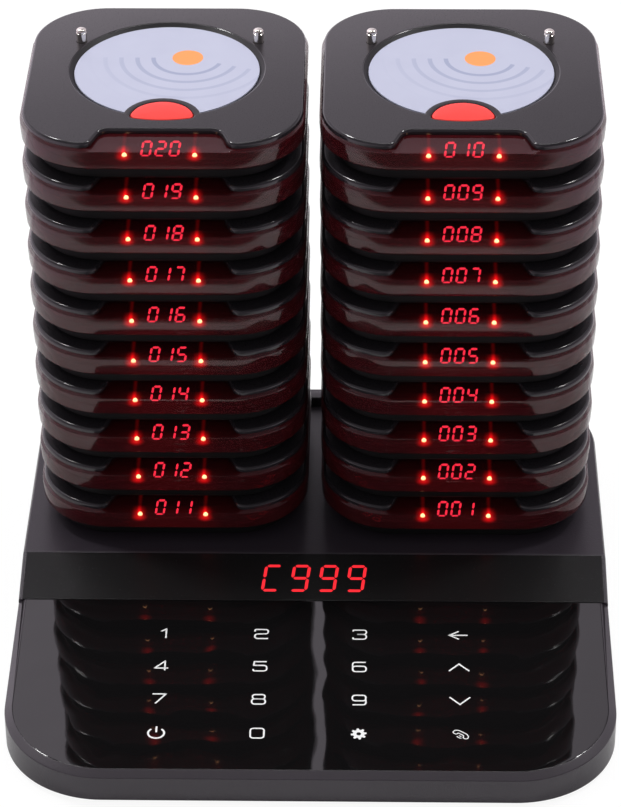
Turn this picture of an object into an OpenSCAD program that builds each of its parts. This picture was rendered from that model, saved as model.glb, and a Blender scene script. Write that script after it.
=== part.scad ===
// Guest pager system: a charging base with a touch panel and a display strip,
// and two stacks of coaster pagers that stand on it and lift off one by one.
// Millimetres, +Z up. X = 0 is midway between the stacks, Y = 0 is the middle of
// the base's depth with the touch panel towards -Y, and Z = 0 is the table.

/* [Base] */
// Width of the base
base_w = 202.6; // [199:0.2:215]
// Depth of the base
base_d = 208; // [206:1:225]
// Radius of the base's upright corners
base_r = 34; // [28:1:40]
// Height of the deck that the pagers stand on, above the table
deck_z = 23; // [21.5:0.5:28]
// Height that the rubber feet lift the case off the table
foot_gap = 1.6; // [1:0.2:3]
// Wall thickness of the moulded case
case_wall = 2.4; // [2:0.1:3]
// Bevel on the rim round the touch panel, measured across
rim_bevel_w = 2.6; // [2:0.1:3.4]
// Bevel on the rim round the touch panel, measured down
rim_bevel_h = 1.5; // [0.8:0.1:2]
// Small bevel round the deck's edge
deck_bevel = 0.8; // [0.4:0.1:1.2]
// Thickness of the bottom cover's plate
bottom_plate_t = 2.4; // [2:0.2:3]

/* [Display strip and touch panel] */
// Depth, front to back, of the sloping display strip
strip_run = 20.1; // [16:0.5:24]
// Height that the strip falls from the deck to the touch panel
strip_drop = 5.3; // [4:0.1:6.5]
// Slope of the touch panel, in degrees
panel_tilt = 3.3; // [1:0.1:4]
// Thickness of the touch panel
panel_t = 1.6; // [1.2:0.1:2]
// Thickness of the smoked display window
window_t = 1.6; // [1.2:0.1:2]
// Width of the case wall at each end of the window
window_frame = 1.4; // [1.2:0.1:4]
// Number of digits in the base's display
display_digits = 4; // [2:1:6]
// Distance between those digits
display_pitch = 10.3; // [8:0.1:14]
// Depth of the display module behind the window
display_depth = 5; // [4:0.5:6]

/* [Pagers] */
// Pagers in each stack
stack_count = 10; // [2:1:10]
// Gap between the two stacks
stack_gap = 4.4; // [3:0.2:8]
// Deck left free in front of the pagers
deck_front = 4.8; // [3:0.2:6]
// Deck left free behind the pagers
deck_back = 1; // [0.4:0.1:3]
// Width of a pager across its red band
pager_w = 94; // [90:0.5:96]
// Depth of a pager from its front to its back
pager_d = 96.5; // [92:0.5:98]
// Height of one pager, which is also the step of the stack
pager_h = 16; // [15.5:0.1:18]
// Radius of a pager's upright corners
pager_r = 25; // [22:0.5:28]
// Thickness of the top cover at its rim
cover_t = 1.8; // [1.6:0.1:2.2]
// Step from the red band in to the top cover
cover_inset = 0.8; // [0.5:0.1:1.2]
// Rounding of the top cover's edge
cover_round = 1; // [0.6:0.1:1.2]
// Height of the red band
band_h = 7.5; // [6.5:0.1:8]
// Wall thickness of the red band
band_wall = 3; // [2.5:0.1:3.5]
// Taper of the red band from its widest line down to its lower edge
band_taper = 0.9; // [0.4:0.1:1.4]
// Step from the red band in to the bottom cover
bottom_inset = 5.5; // [4.5:0.1:7]
// Wall thickness of the bottom cover
bottom_wall = 1.6; // [1.2:0.1:2]
// Height of the rim that a pager stands on
foot_rim = 1; // [0.9:0.1:1.2]

/* [Label and button] */
// Radius of the label disc
label_r = 31; // [28:0.2:31.4]
// Thickness of the label disc
label_t = 0.5; // [0.3:0.1:0.8]
// Depth of the recess that holds the label
recess_depth = 1.4; // [1.1:0.1:1.5]
// Width of the sloping wall round that recess
recess_slope = 1.6; // [1:0.1:1.8]
// Distance of the label's centre behind the pager's centre
label_setback = 3.45; // [2:0.05:4]
// Radius of the button's rounded back
button_r = 10.4; // [9.5:0.1:11]
// Distance of that round's centre behind the pager's front
button_setback = 18.5; // [17.8:0.05:19.2]
// Depth of the button, front to back
button_d = 12; // [10.5:0.1:12.5]
// Width of the black surround between the button and the label
surround_w = 2.2; // [1.5:0.1:3]
// Height of the button above the top cover
button_rise = 0.4; // [0.2:0.1:0.5]
// Travel of the button when it is pressed
button_travel = 0.6; // [0.4:0.1:0.8]

/* [Window notch and charging pins] */
// Half width of the notch in the top cover, along its back edge
notch_back = 19.4; // [15:0.1:20.5]
// Half width of the notch where its sides reach the front
notch_front = 22.5; // [21:0.1:23]
// Depth of the notch from the pager's front
notch_d = 10.8; // [9.5:0.1:11.2]
// Fall of the red window from the back of the notch to its front
window_fall = 0.8; // [0.4:0.1:1.2]
// Radius of a charging pin
pin_r = 1.75; // [1.5:0.05:2]
// Height of a charging pin above the top cover
pin_rise = 5; // [4:0.1:5.5]
// Distance of the charging pins from the pager's middle line
pin_x = 30; // [29:0.1:31]
// Distance of the charging pins behind the pager's centre
pin_y = 22.55; // [22:0.05:24]

/* [Hidden] */
// Running clearance round pieces that move or drop in
slip = 0.3;
// Clearance round pieces that are pressed or glued in
seat = 0.1;
// Gap between the faces of two pieces that lie on each other
mate = 0.05;
// Length by which a cutter passes the face it cuts
over = 1;
// Facets of a full turn in previews
$fn = 72;

front_y = -base_d / 2;
strip_y = base_d / 2 - deck_back - pager_d - deck_front;
foot_y = strip_y - strip_run;
strip_foot = foot_y - front_y;
foot_z = deck_z - strip_drop;
strip_slope = atan(strip_drop / strip_run);
strip_len = norm([strip_run, strip_drop]);
panel_fall = strip_foot * tan(panel_tilt);
stack_x = (pager_w + stack_gap) / 2;
stack_y = base_d / 2 - deck_back - pager_d / 2;

// Levels inside one pager, from the face it stands on
cover_z = pager_h - cover_t;
band_top = cover_z - mate;
band_z = cover_z - band_h;
band_edge = 0.3;
shoulder = 0.8;
label_z = pager_h - recess_depth;
boss_r = label_r + recess_slope + 2;
boss_z = cover_z - 1.2;
flange_top = band_z + 1.2;
board_z = flange_top + mate;
board_t = 1;
notch_y = -pager_d / 2 + notch_d;
button_y = pager_d / 2 - button_setback;
button_front = label_setback + button_y + button_d - button_r;
surround_r = button_r + slip + surround_w;
button_skirt = 0.8;
button_foot = boss_z - mate - button_skirt;
pin_foot = pin_rise + slip;
socket_r = pin_r + slip;

// Levels and boards inside the base. The boards keep their distances from the
// base's sides, from the strip, from the back wall and from the front.
plate_z = foot_gap + bottom_plate_t;
boss_h = 4;
board_side = 31.3;
board_to_strip = 20;
board_to_wall = 1.2;
jack_to_side = 10;
sensor_to_strip = 12;
sensor_to_front = 11.6;
board_front = strip_y + board_to_strip;
board_back = base_d / 2 - case_wall - board_to_wall;
board_mid = (board_front + board_back) / 2;
board_low = plate_z + boss_h;
board_size = [base_w - 2 * board_side, board_back - board_front, 1.6];
sensor_front = strip_foot - sensor_to_front;
sensor_size = [base_w - 2 * board_side, sensor_front - sensor_to_strip, 1.2];
sensor_top = -panel_t - seat - case_wall - seat;
jack_x = jack_to_side - board_size.x / 2;

// Pager numbers: 1 at the bottom of the right stack, then up it and up the left one
function pad3(n) = str(n < 100 ? "0" : "", n < 10 ? "0" : "", n);
function pager(n) = str("pager_", pad3(n));
function is_top(n) = n % stack_count == 0;
function side(n) = n <= stack_count ? 1 : -1;
function level(n) = (n - 1) % stack_count;

PAGERS = [for (n = [1:2 * stack_count]) n];
TOP_PIECES = ["top_cover", "window_band", "bottom_cover", "label_disc", "charging_pins", "electronics"];
BASE_PIECES = [
    "base_upper_case", "base_bottom_cover", "touch_panel", "touch_board", "display_window",
    "display_module", "main_board", "charging_posts", "rubber_feet", "dc_socket"
];

// ---------------------------------------------------------------- shared shapes

// Sweeps a profile round a rounded rectangle. The profile's X runs outwards from
// the corners' centres, so X = r is the outline, and its Y is the height.
module sweep_round(w, d, r) {
    for (corner = [[1, 1, 0], [-1, 1, 90], [-1, -1, 180], [1, -1, 270]])
        translate([corner.x * (w / 2 - r), corner.y * (d / 2 - r), 0])
            rotate([0, 0, corner.z])
                rotate_extrude(angle = 90)
                    children();
    for (turn = [0, 180])
        rotate([0, 0, turn])
            translate([w / 2 - r, 0, 0])
                rotate([90, 0, 0])
                    linear_extrude(height = d - 2 * r, center = true)
                        children();
    for (turn = [90, 270])
        rotate([0, 0, turn])
            translate([d / 2 - r, 0, 0])
                rotate([90, 0, 0])
                    linear_extrude(height = w - 2 * r, center = true)
                        children();
}

// A slab with a rounded-rectangle outline and the given edge profile.
module slab(w, d, r, low, high) {
    sweep_round(w, d, r)
        children();
    translate([0, 0, (low + high) / 2])
        cube([w - 2 * r, d - 2 * r, high - low], center = true);
}

// A plain upright slab with a rounded-rectangle outline.
module plain_slab(w, d, r, low, high) {
    slab(w, d, r, low, high)
        translate([0, low])
            square([r, high - low]);
}

// Sweeps a side view, drawn in Y and Z, across the width.
module across(width) {
    rotate([90, 0, 90])
        linear_extrude(height = width, center = true)
            children();
}

module put_pager(n) {
    translate([side(n) * stack_x, stack_y, deck_z + level(n) * pager_h])
        children();
}

module at_pins() {
    for (x = [-pin_x, pin_x])
        translate([x, pin_y, 0])
            children();
}

// ---------------------------------------------------------------- one pager

// Outline of the window notch, seen from above.
module notch_outline() {
    corner = 2.5;
    flare = 3;
    front = -pager_d / 2 - over;
    polygon([
        [-notch_front, front], [notch_front, front],
        [notch_front, -pager_d / 2 + flare], [notch_back, notch_y - corner],
        [-notch_back, notch_y - corner], [-notch_front, -pager_d / 2 + flare]
    ]);
    translate([-notch_back + corner, notch_y - 2 * corner])
        square([2 * (notch_back - corner), 2 * corner]);
    for (x = [-1, 1])
        translate([x * (notch_back - corner), notch_y - corner])
            circle(r = corner);
}

// Half-moon outline of the button, grown by a clearance.
module button_outline(grow) {
    intersection() {
        translate([0, -button_y])
            circle(r = button_r + grow);
        translate([0, label_setback])
            circle(r = button_front + grow);
    }
}

module pager_top_cover() {
    w = pager_w - 2 * cover_inset;
    d = pager_d - 2 * cover_inset;
    r = pager_r - cover_inset;
    color("#3d393d")
        difference() {
            union() {
                slab(w, d, r, cover_z, pager_h) {
                    union() {
                        translate([0, cover_z])
                            square([r, cover_t - cover_round]);
                        translate([0, cover_z])
                            square([r - cover_round, cover_t]);
                        translate([r - cover_round, pager_h - cover_round])
                            intersection() {
                                circle(r = cover_round);
                                square(2 * cover_round);
                            }
                    }
                }
                translate([0, label_setback, boss_z])
                    cylinder(r = boss_r, h = cover_z - boss_z);
            }
            label_recess();
            translate([0, 0, boss_z - over])
                linear_extrude(height = pager_h - boss_z + 2 * over)
                    notch_outline();
            translate([0, 0, boss_z - over])
                linear_extrude(height = pager_h - boss_z + 2 * over)
                    button_outline(slip);
            at_pins()
                translate([0, 0, boss_z - over])
                    cylinder(r = pin_r + seat, h = pager_h - boss_z + 2 * over);
        }
}

// Dished recess for the label, leaving the button's surround standing.
module label_recess() {
    difference() {
        translate([0, label_setback, label_z])
            cylinder(
                r1 = label_r + seat,
                r2 = label_r + seat + recess_slope * (recess_depth + over) / recess_depth,
                h = recess_depth + over
            );
        translate([0, -button_y, label_z - over])
            cylinder(r = surround_r, h = recess_depth + 3 * over);
    }
}

module pager_window_band() {
    inner = pager_r - band_wall;
    window_wall = 1.3;
    in_wall = (band_wall - pager_d) / 2;
    color("#5a1414")
        union() {
            difference() {
                sweep_round(pager_w, pager_d, pager_r)
                    polygon([
                        [inner, band_z], [pager_r - band_taper - band_edge, band_z],
                        [pager_r - band_taper, band_z + band_edge],
                        [pager_r, band_top - shoulder - over], [pager_r, band_top - shoulder],
                        [pager_r - cover_inset, band_top], [inner, band_top]
                    ]);
                across(2 * notch_front)
                    polygon([
                        [-pager_d / 2 - over, window_z(-pager_d / 2 - over)],
                        [notch_y + over, window_z(notch_y + over)],
                        [notch_y + over, cover_z + over], [-pager_d / 2 - over, cover_z + over]
                    ]);
            }
            across(2 * notch_front + 2)
                polygon([
                    [in_wall, window_z(in_wall)], [notch_y, band_top],
                    [notch_y + over, band_top], [notch_y + over, band_top - window_wall],
                    [in_wall, window_z(in_wall) - window_wall]
                ]);
        }
}

// Height of the red window's upper face at a given Y.
function window_z(y) = band_top - window_fall * (notch_y - y) / notch_d;

module pager_bottom_cover() {
    w = pager_w - 2 * bottom_inset;
    d = pager_d - 2 * bottom_inset;
    r = pager_r - bottom_inset;
    rim_in = 1.2;
    floor_z = foot_rim + bottom_wall;
    flange_in = band_wall + seat;
    color("#1b191b")
        difference() {
            union() {
                plain_slab(w, d, r, foot_rim, flange_top);
                plain_slab(
                    pager_w - 2 * flange_in, pager_d - 2 * flange_in, pager_r - flange_in,
                    band_z, flange_top
                );
                difference() {
                    plain_slab(w - 2 * rim_in, d - 2 * rim_in, r - rim_in, 0, foot_rim);
                    plain_slab(
                        w - 2 * rim_in - 2 * bottom_wall, d - 2 * rim_in - 2 * bottom_wall,
                        r - rim_in - bottom_wall, -over, foot_rim
                    );
                }
                at_pins()
                    cylinder(r = socket_r + bottom_wall, h = pin_foot);
            }
            difference() {
                plain_slab(
                    w - 2 * bottom_wall, d - 2 * bottom_wall, r - bottom_wall,
                    floor_z, flange_top + over
                );
                at_pins()
                    cylinder(r = socket_r + bottom_wall, h = pin_foot);
            }
            at_pins()
                translate([0, 0, -over])
                    cylinder(r = socket_r, h = pin_foot + 2 * over);
        }
}

module pager_label_disc() {
    color("#cfd0e6")
        difference() {
            translate([0, label_setback, label_z + mate])
                cylinder(r = label_r, h = label_t);
            translate([0, -button_y, label_z - over])
                cylinder(r = surround_r + seat, h = label_t + 2 * over);
        }
}

module pager_charging_pins() {
    shaft = pager_h + pin_rise - pin_r - pin_foot;
    color("#d8d6d2")
        at_pins()
            translate([0, 0, pin_foot])
                rotate_extrude()
                    union() {
                        square([pin_r, shaft]);
                        intersection() {
                            translate([0, shaft])
                                circle(r = pin_r);
                            square([pin_r, shaft + pin_r]);
                        }
                    }
}

// Circuit board with the battery, vibration motor, button switch, digit display
// and the two front lamps.
module pager_electronics() {
    gap = 2 * (band_wall + slip);
    color("#1f5a37")
        difference() {
            plain_slab(
                pager_w - gap, pager_d - gap, pager_r - gap / 2,
                board_z, board_z + board_t
            );
            at_pins()
                translate([0, 0, board_z - over])
                    cylinder(r = pin_r + seat, h = board_t + 2 * over);
        }
    battery_and_motor();
    digit_display();
    button_switch();
}

module battery_and_motor() {
    top = board_z - mate;
    battery = [42, 34, top - foot_rim - bottom_wall - slip];
    battery_front = -6;
    motor_r = battery.z / 2;
    motor_len = 12;
    motor_y = -20;
    color("#9aa0a6")
        translate([-battery.x / 2, battery_front, top - battery.z])
            cube(battery);
    color("#b9b9bd")
        translate([-motor_len / 2, motor_y, top - motor_r])
            rotate([0, 90, 0])
                cylinder(r = motor_r, h = motor_len);
}

module digit_display() {
    lamp_x = 11.4;
    lamp = [2, 1.2, 2];
    display_w = 15;
    face = 3;
    front = -pager_d / 2 + band_wall + slip;
    low = board_z + board_t + mate;
    color("#d9412f")
        across(display_w)
            polygon([
                [front + 1, low], [front + 1 + 2 * face, low],
                [front + 1 + 2 * face, low + face], [front + 1 + face, low + face]
            ]);
    color("#f2f0ea")
        for (x = [-lamp_x, lamp_x])
            translate([x - lamp.x / 2, front, low])
                cube(lamp);
}

// Small push switch on the board, under the button.
module button_switch() {
    low = board_z + board_t + mate;
    switch_r = 2.5;
    color("#26272b")
        translate([0, button_middle(), low])
            cylinder(r = switch_r, h = button_foot - button_travel - mate - low);
}

// Middle of the button's depth.
function button_middle() = label_setback - button_front + button_d / 2;

// The button: a domed half-moon with a skirt that stops it under the cover.
module pager_button() {
    dome_r = 90;
    lip = 0.6;
    height = pager_h + button_rise - button_foot;
    color("#e2382f")
        union() {
            intersection() {
                translate([0, 0, button_foot])
                    linear_extrude(height = pager_h)
                        button_outline(0);
                translate([0, button_middle(), pager_h + button_rise - dome_r])
                    rotate_extrude()
                        intersection() {
                            circle(r = dome_r, $fn = 720);
                            translate([0, dome_r - height])
                                square([2 * button_r, 2 * height]);
                        }
            }
            translate([0, 0, button_foot])
                linear_extrude(height = button_skirt)
                    button_outline(slip + lip);
        }
}

// A whole lower pager, as separate solids.
module pager_body() {
    pager_top_cover();
    pager_window_band();
    pager_bottom_cover();
    pager_label_disc();
    pager_charging_pins();
    pager_electronics();
}

// ---------------------------------------------------------------- the base

// Side view of the case, moved in by a wall thickness.
module case_side(wall) {
    top = deck_z - wall;
    low = foot_z - wall - (wall > 0 ? panel_t + seat : 0);
    polygon([
        [front_y - over, wall > 0 ? foot_gap - over : foot_gap],
        [front_y - over, low - panel_fall - over * tan(panel_tilt)],
        [foot_y, low], [strip_y + wall, top], [-front_y + over, top],
        [-front_y + over, wall > 0 ? foot_gap - over : foot_gap]
    ]);
}

// Moves a child drawn flat onto the touch panel's plane, hinged at the strip's foot.
module on_panel() {
    translate([0, foot_y, foot_z])
        rotate([panel_tilt, 0, 0])
            children();
}

// Moves a child drawn flat onto the strip's plane, hinged at the strip's foot.
module on_strip() {
    translate([0, foot_y, foot_z])
        rotate([strip_slope, 0, 0])
            children();
}

// Slab with the touch panel's outline on its own plane: square at the strip and
// round at the front, moved in from the case's sides.
module panel_slab(inset, low, high) {
    w = base_w - 2 * inset;
    d = strip_foot / cos(panel_tilt) - inset;
    r = base_r - inset;
    translate([0, 0, low])
        linear_extrude(height = high - low)
            union() {
                translate([-w / 2, r - d])
                    square([w, d - r]);
                translate([r - w / 2, -d])
                    square([w - 2 * r, 2 * r]);
                for (x = [-1, 1])
                    translate([x * (w / 2 - r), r - d])
                        circle(r = r);
            }
}

// Cuts the bevel off the rim round the touch panel. Its corners are a little rounder
// than the case's, which widens the bevel there.
module rim_cutter() {
    reach = 2;
    r = base_r + 0.4;
    intersection() {
        sweep_round(base_w, 2 * strip_foot / cos(panel_tilt), r)
            polygon([
                [r - rim_bevel_w, 0],
                [r + reach, -rim_bevel_h * (rim_bevel_w + reach) / rim_bevel_w],
                [r + reach, over], [r - rim_bevel_w, over]
            ]);
        translate([-base_w, -base_d, -base_r])
            cube([2 * base_w, base_d, 2 * base_r]);
    }
}

// Cuts the small bevel off the deck's edge.
module deck_cutter() {
    reach = 2;
    intersection() {
        translate([0, 0, deck_z])
            sweep_round(base_w, base_d, base_r)
                polygon([
                    [base_r - deck_bevel, 0], [base_r + reach, -deck_bevel - reach],
                    [base_r + reach, over], [base_r - deck_bevel, over]
                ]);
        translate([-base_w, strip_y, 0])
            cube([2 * base_w, base_d, 2 * deck_z]);
    }
}

module base_upper_case() {
    color("#423d42")
        difference() {
            intersection() {
                plain_slab(base_w, base_d, base_r, foot_gap, deck_z);
                across(base_w + 2 * over)
                    case_side(0);
            }
            intersection() {
                plain_slab(
                    base_w - 2 * case_wall, base_d - 2 * case_wall, base_r - case_wall,
                    foot_gap - over, deck_z
                );
                across(base_w)
                    case_side(case_wall);
            }
            on_panel()
                rim_cutter();
            deck_cutter();
            on_panel()
                panel_slab(rim_bevel_w, -panel_t - seat, over);
            on_strip()
                window_plate(seat, over);
            display_opening();
            charging_post_holes();
            dc_socket_hole();
        }
    locating_block();
}

// The window's plate on the strip's plane, grown by a clearance.
module window_plate(grow, proud) {
    w = base_w - 2 * window_frame + 2 * grow;
    translate([-w / 2, -grow, -window_t - grow])
        cube([w, strip_len - 1 + 2 * grow, window_t + grow + proud]);
}

// Hole behind the window that the digits show through.
module display_opening() {
    w = display_digits * display_pitch + 2;
    ledge = 3;
    on_strip()
        translate([-w / 2, ledge, -2 * case_wall - window_t])
            cube([w, strip_len - 2 * ledge, 3 * case_wall]);
}

// Small block on the deck that keeps the two stacks apart at the back.
module locating_block() {
    block = [9, 4.4, 3.8];
    r = 1.2;
    setback = 8.6;
    color("#423d42")
        translate([0, stack_y + pager_d / 2 - setback, 0])
            plain_slab(block.x, block.y, r, deck_z, deck_z + block.z);
}

module base_bottom_cover() {
    fit = 2 * (case_wall + slip);
    post_r = 3;
    color("#2c292c")
        difference() {
            union() {
                plain_slab(
                    base_w - fit, base_d - fit, base_r - fit / 2, foot_gap, plate_z
                );
                for (x = [-1, 1], y = [-1, 1])
                    translate([x * board_post().x, board_mid + y * board_post().y, plate_z])
                        cylinder(r = post_r, h = boss_h);
                touch_board_posts();
            }
            at_feet()
                translate([0, 0, foot_gap - over])
                    cylinder(r = foot_r() + seat, h = over + foot_seat());
        }
}

function board_post() = [board_size.x / 2 - 10, board_size.y / 2 - 13];
function foot_r() = 7;
function foot_seat() = 0.8;

// The four feet stand inside the corners' rounding.
module at_feet() {
    inset = 0.62 * base_r;
    for (x = [-1, 1], y = [-1, 1])
        translate([x * (base_w / 2 - inset), y * (base_d / 2 - inset), 0])
            children();
}

module rubber_feet() {
    bevel = 0.6;
    color("#161516")
        at_feet()
            rotate_extrude()
                polygon([
                    [0, 0], [foot_r() - bevel, 0], [foot_r(), bevel],
                    [foot_r(), foot_gap + foot_seat()], [0, foot_gap + foot_seat()]
                ]);
}

module touch_panel() {
    color("#121012")
        on_panel()
            panel_slab(rim_bevel_w + seat, -panel_t, 0);
}

// Sensor board glued under the touch panel's keys.
module touch_board() {
    color("#1f5a37")
        on_panel()
            translate([-sensor_size.x / 2, -sensor_front, sensor_top - sensor_size.z])
                cube(sensor_size);
}

// Posts that hold the sensor board up against the case.
module touch_board_posts() {
    post_r = 2.5;
    post_x = sensor_size.x / 2 - 20;
    post_in = 14;
    intersection() {
        for (x = [-post_x, post_x], y = [sensor_to_strip + post_in, sensor_front - post_in])
            translate([x, foot_y - y, plate_z])
                cylinder(r = post_r, h = deck_z);
        across(base_w)
            polygon([
                [front_y, 0], [foot_y, 0], [foot_y, post_top()], [front_y, post_top() - panel_fall]
            ]);
    }
}

function post_top() =
    foot_z + (sensor_top - sensor_size.z - seat) / cos(panel_tilt);

module display_window() {
    color("#242122")
        on_strip()
            window_plate(0, 0);
}

module display_module() {
    w = display_digits * display_pitch;
    ledge = 4;
    color("#e0342c")
        on_strip()
            translate([-w / 2, ledge, -window_t - slip - display_depth])
                cube([w, strip_len - 2 * ledge, display_depth]);
}

// Main board with its processor, sounder and coiled aerial.
module main_board() {
    top = board_low + board_size.z + mate;
    chip = [18, 18, 1.6];
    sounder_r = 12;
    sounder_h = 5;
    coil_r = 2.5;
    coil_len = 22;
    color("#1f5a37")
        translate([-board_size.x / 2, board_front, board_low])
            cube(board_size);
    color("#26272b")
        translate([20, board_mid - chip.y / 2, top])
            cube(chip);
    color("#3a3a3f")
        translate([-30, board_mid, top])
            cylinder(r = sounder_r, h = sounder_h);
    color("#b98a3c")
        translate([45, board_mid + 18, top + coil_r])
            rotate([0, 90, 0])
                cylinder(r = coil_r, h = coil_len);
}

module charging_post_holes() {
    for (x = [-stack_x, stack_x])
        translate([x, stack_y, 0])
            at_pins()
                translate([0, 0, deck_z - case_wall - over])
                    cylinder(r = pin_r + seat, h = case_wall + 2 * over);
}

module charging_posts() {
    flange_t = 1.2;
    flange_r = 2 * pin_r;
    shaft = flange_t + case_wall + seat + pin_rise - pin_r;
    color("#d8d6d2")
        for (x = [-stack_x, stack_x])
            translate([x, stack_y, 0])
                at_pins()
                    translate([0, 0, deck_z - case_wall - seat - flange_t])
                        rotate_extrude()
                            union() {
                                square([flange_r, flange_t]);
                                square([pin_r, shaft]);
                                intersection() {
                                    translate([0, shaft])
                                        circle(r = pin_r);
                                    square([pin_r, shaft + pin_r]);
                                }
                            }
}

function jack_r() = 5;
function jack_z() = board_low + board_size.z + mate + jack_r();

module dc_socket_hole() {
    translate([jack_x, base_d / 2 + over, jack_z()])
        rotate([90, 0, 0])
            cylinder(r = jack_r() + seat, h = case_wall + 2 * over);
}

// Round power socket with its centre contact.
module dc_socket() {
    bore_r = 2.75;
    depth = 9;
    length = 13;
    face = base_d / 2 - 0.4;
    contact_r = 1.05;
    contact_len = 7.4;
    color("#101010")
        translate([jack_x, face, jack_z()])
            rotate([90, 0, 0])
                difference() {
                    cylinder(r = jack_r(), h = length);
                    translate([0, 0, -over])
                        cylinder(r = bore_r, h = depth + over);
                }
    color("#d8d6d2")
        translate([jack_x, face - depth + mate + contact_len, jack_z()])
            rotate([90, 0, 0])
                cylinder(r = contact_r, h = contact_len);
}

// ---------------------------------------------------------------- the assembly

base_upper_case();
base_bottom_cover();
touch_panel();
touch_board();
display_window();
display_module();
main_board();
charging_posts();
rubber_feet();
dc_socket();
for (n = PAGERS) {
    if (!is_top(n)) {
        put_pager(n) pager_body();
    }
    if (is_top(n)) {
        put_pager(n) pager_top_cover();
        put_pager(n) pager_window_band();
        put_pager(n) pager_bottom_cover();
        put_pager(n) pager_label_disc();
        put_pager(n) pager_charging_pins();
        put_pager(n) pager_electronics();
    }
    put_pager(n) pager_button();
}
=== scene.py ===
"""Guest pager system: a charging base with a touch panel, and stacks of coaster pagers."""

import logging
import math
from collections.abc import Callable, Iterable, Sequence
from dataclasses import dataclass
from enum import Enum

import bmesh
import bpy
import numpy as np
from bpy.types import Material, Mesh, Node, NodeSocket, NodeTree, Object
from mathutils import Matrix, Vector, geometry


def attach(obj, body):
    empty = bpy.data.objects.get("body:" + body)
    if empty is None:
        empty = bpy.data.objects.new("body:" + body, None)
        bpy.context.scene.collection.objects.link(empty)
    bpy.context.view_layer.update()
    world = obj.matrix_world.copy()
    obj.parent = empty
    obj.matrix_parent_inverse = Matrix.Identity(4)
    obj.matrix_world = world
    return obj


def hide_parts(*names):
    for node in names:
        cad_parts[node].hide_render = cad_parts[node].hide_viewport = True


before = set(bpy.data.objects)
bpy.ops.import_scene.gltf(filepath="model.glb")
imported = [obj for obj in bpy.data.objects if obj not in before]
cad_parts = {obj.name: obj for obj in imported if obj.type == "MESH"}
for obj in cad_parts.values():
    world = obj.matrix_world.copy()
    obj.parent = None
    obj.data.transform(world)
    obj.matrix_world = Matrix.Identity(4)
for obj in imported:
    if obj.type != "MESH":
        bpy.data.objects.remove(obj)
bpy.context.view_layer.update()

log = logging.getLogger("guest_pagers")

MM = 0.001
LOCAL = "local_mm"
IN_PLAN = (1, 1, 0)
SHARP_ANGLE = math.radians(32)
SAME_MM = 1e-4
THIN_MM = 1e-5
TINY_MM = 1e-6
HAIR_MM = 0.02
HOLE_POINTS = 24
SHORT_OF_HALF = 0.49
SHARPEST_TURN = 0.35
BAR_GAP = 0.26
IMAGE_WIDTH = 621
SENSOR_WIDTH = 36.0

Loop = np.ndarray
Pair = tuple[float, float]
Place = Sequence[float]
Height = float | Callable[[float, float], float]


class Glyph(Enum):
    """The signs printed on the touch panel besides the digits."""

    BACK = "back"
    UP = "up"
    DOWN = "down"
    POWER = "power"
    GEAR = "gear"
    HANDSET = "handset"


# ------------ colour and nodes


def linear(colour: str, alpha: float = 1.0) -> tuple[float, float, float, float]:
    """Turns an sRGB hex colour into a linear one.

    Args:
        colour: the colour as "#rrggbb".
        alpha: the fourth number.

    Returns:
        Red, green, blue and alpha.
    """
    parts = [int(colour[i:i + 2], 16) / 255 for i in (1, 3, 5)]
    red, green, blue = (c / 12.92 if c <= 0.04045 else ((c + 0.055) / 1.055) ** 2.4 for c in parts)
    return red, green, blue, alpha


def add_node(
    tree: NodeTree, kind: str, inputs: dict[str | int, object] | None = None, **settings: object
) -> Node:
    """Adds a node, gives it its settings, and sets or links its inputs.

    Args:
        tree: the material's or geometry's node tree.
        kind: the node's type name.
        inputs: socket name or number, and a value, the socket that feeds it, or the node
            whose first output does.
        settings: the node's own properties.

    Returns:
        The new node.
    """
    node = tree.nodes.new(kind)
    for name, value in settings.items():
        setattr(node, name, value)
    for key, value in (inputs or {}).items():
        if isinstance(value, Node):
            value = value.outputs[0]
        if isinstance(value, NodeSocket):
            tree.links.new(value, node.inputs[key])
        else:
            node.inputs[key].default_value = value
    return node


def new_material(name: str) -> tuple[Material, NodeTree]:
    """Makes an empty node material.

    Args:
        name: what the finish is called.

    Returns:
        The material and its node tree.
    """
    material = bpy.data.materials.new(name)
    material.use_nodes = True
    material.node_tree.nodes.clear()
    return material, material.node_tree


# ------------ finishes


@dataclass(frozen=True)
class Finish:
    """What a surface is made of. Each kind of finish draws its own surface."""

    name: str

    def material(self) -> Material:
        """Builds the finish's material.

        Returns:
            The material.
        """
        material, tree = new_material(self.name)
        add_node(tree, "ShaderNodeOutputMaterial", {"Surface": self.surface(tree)})
        return material


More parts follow.
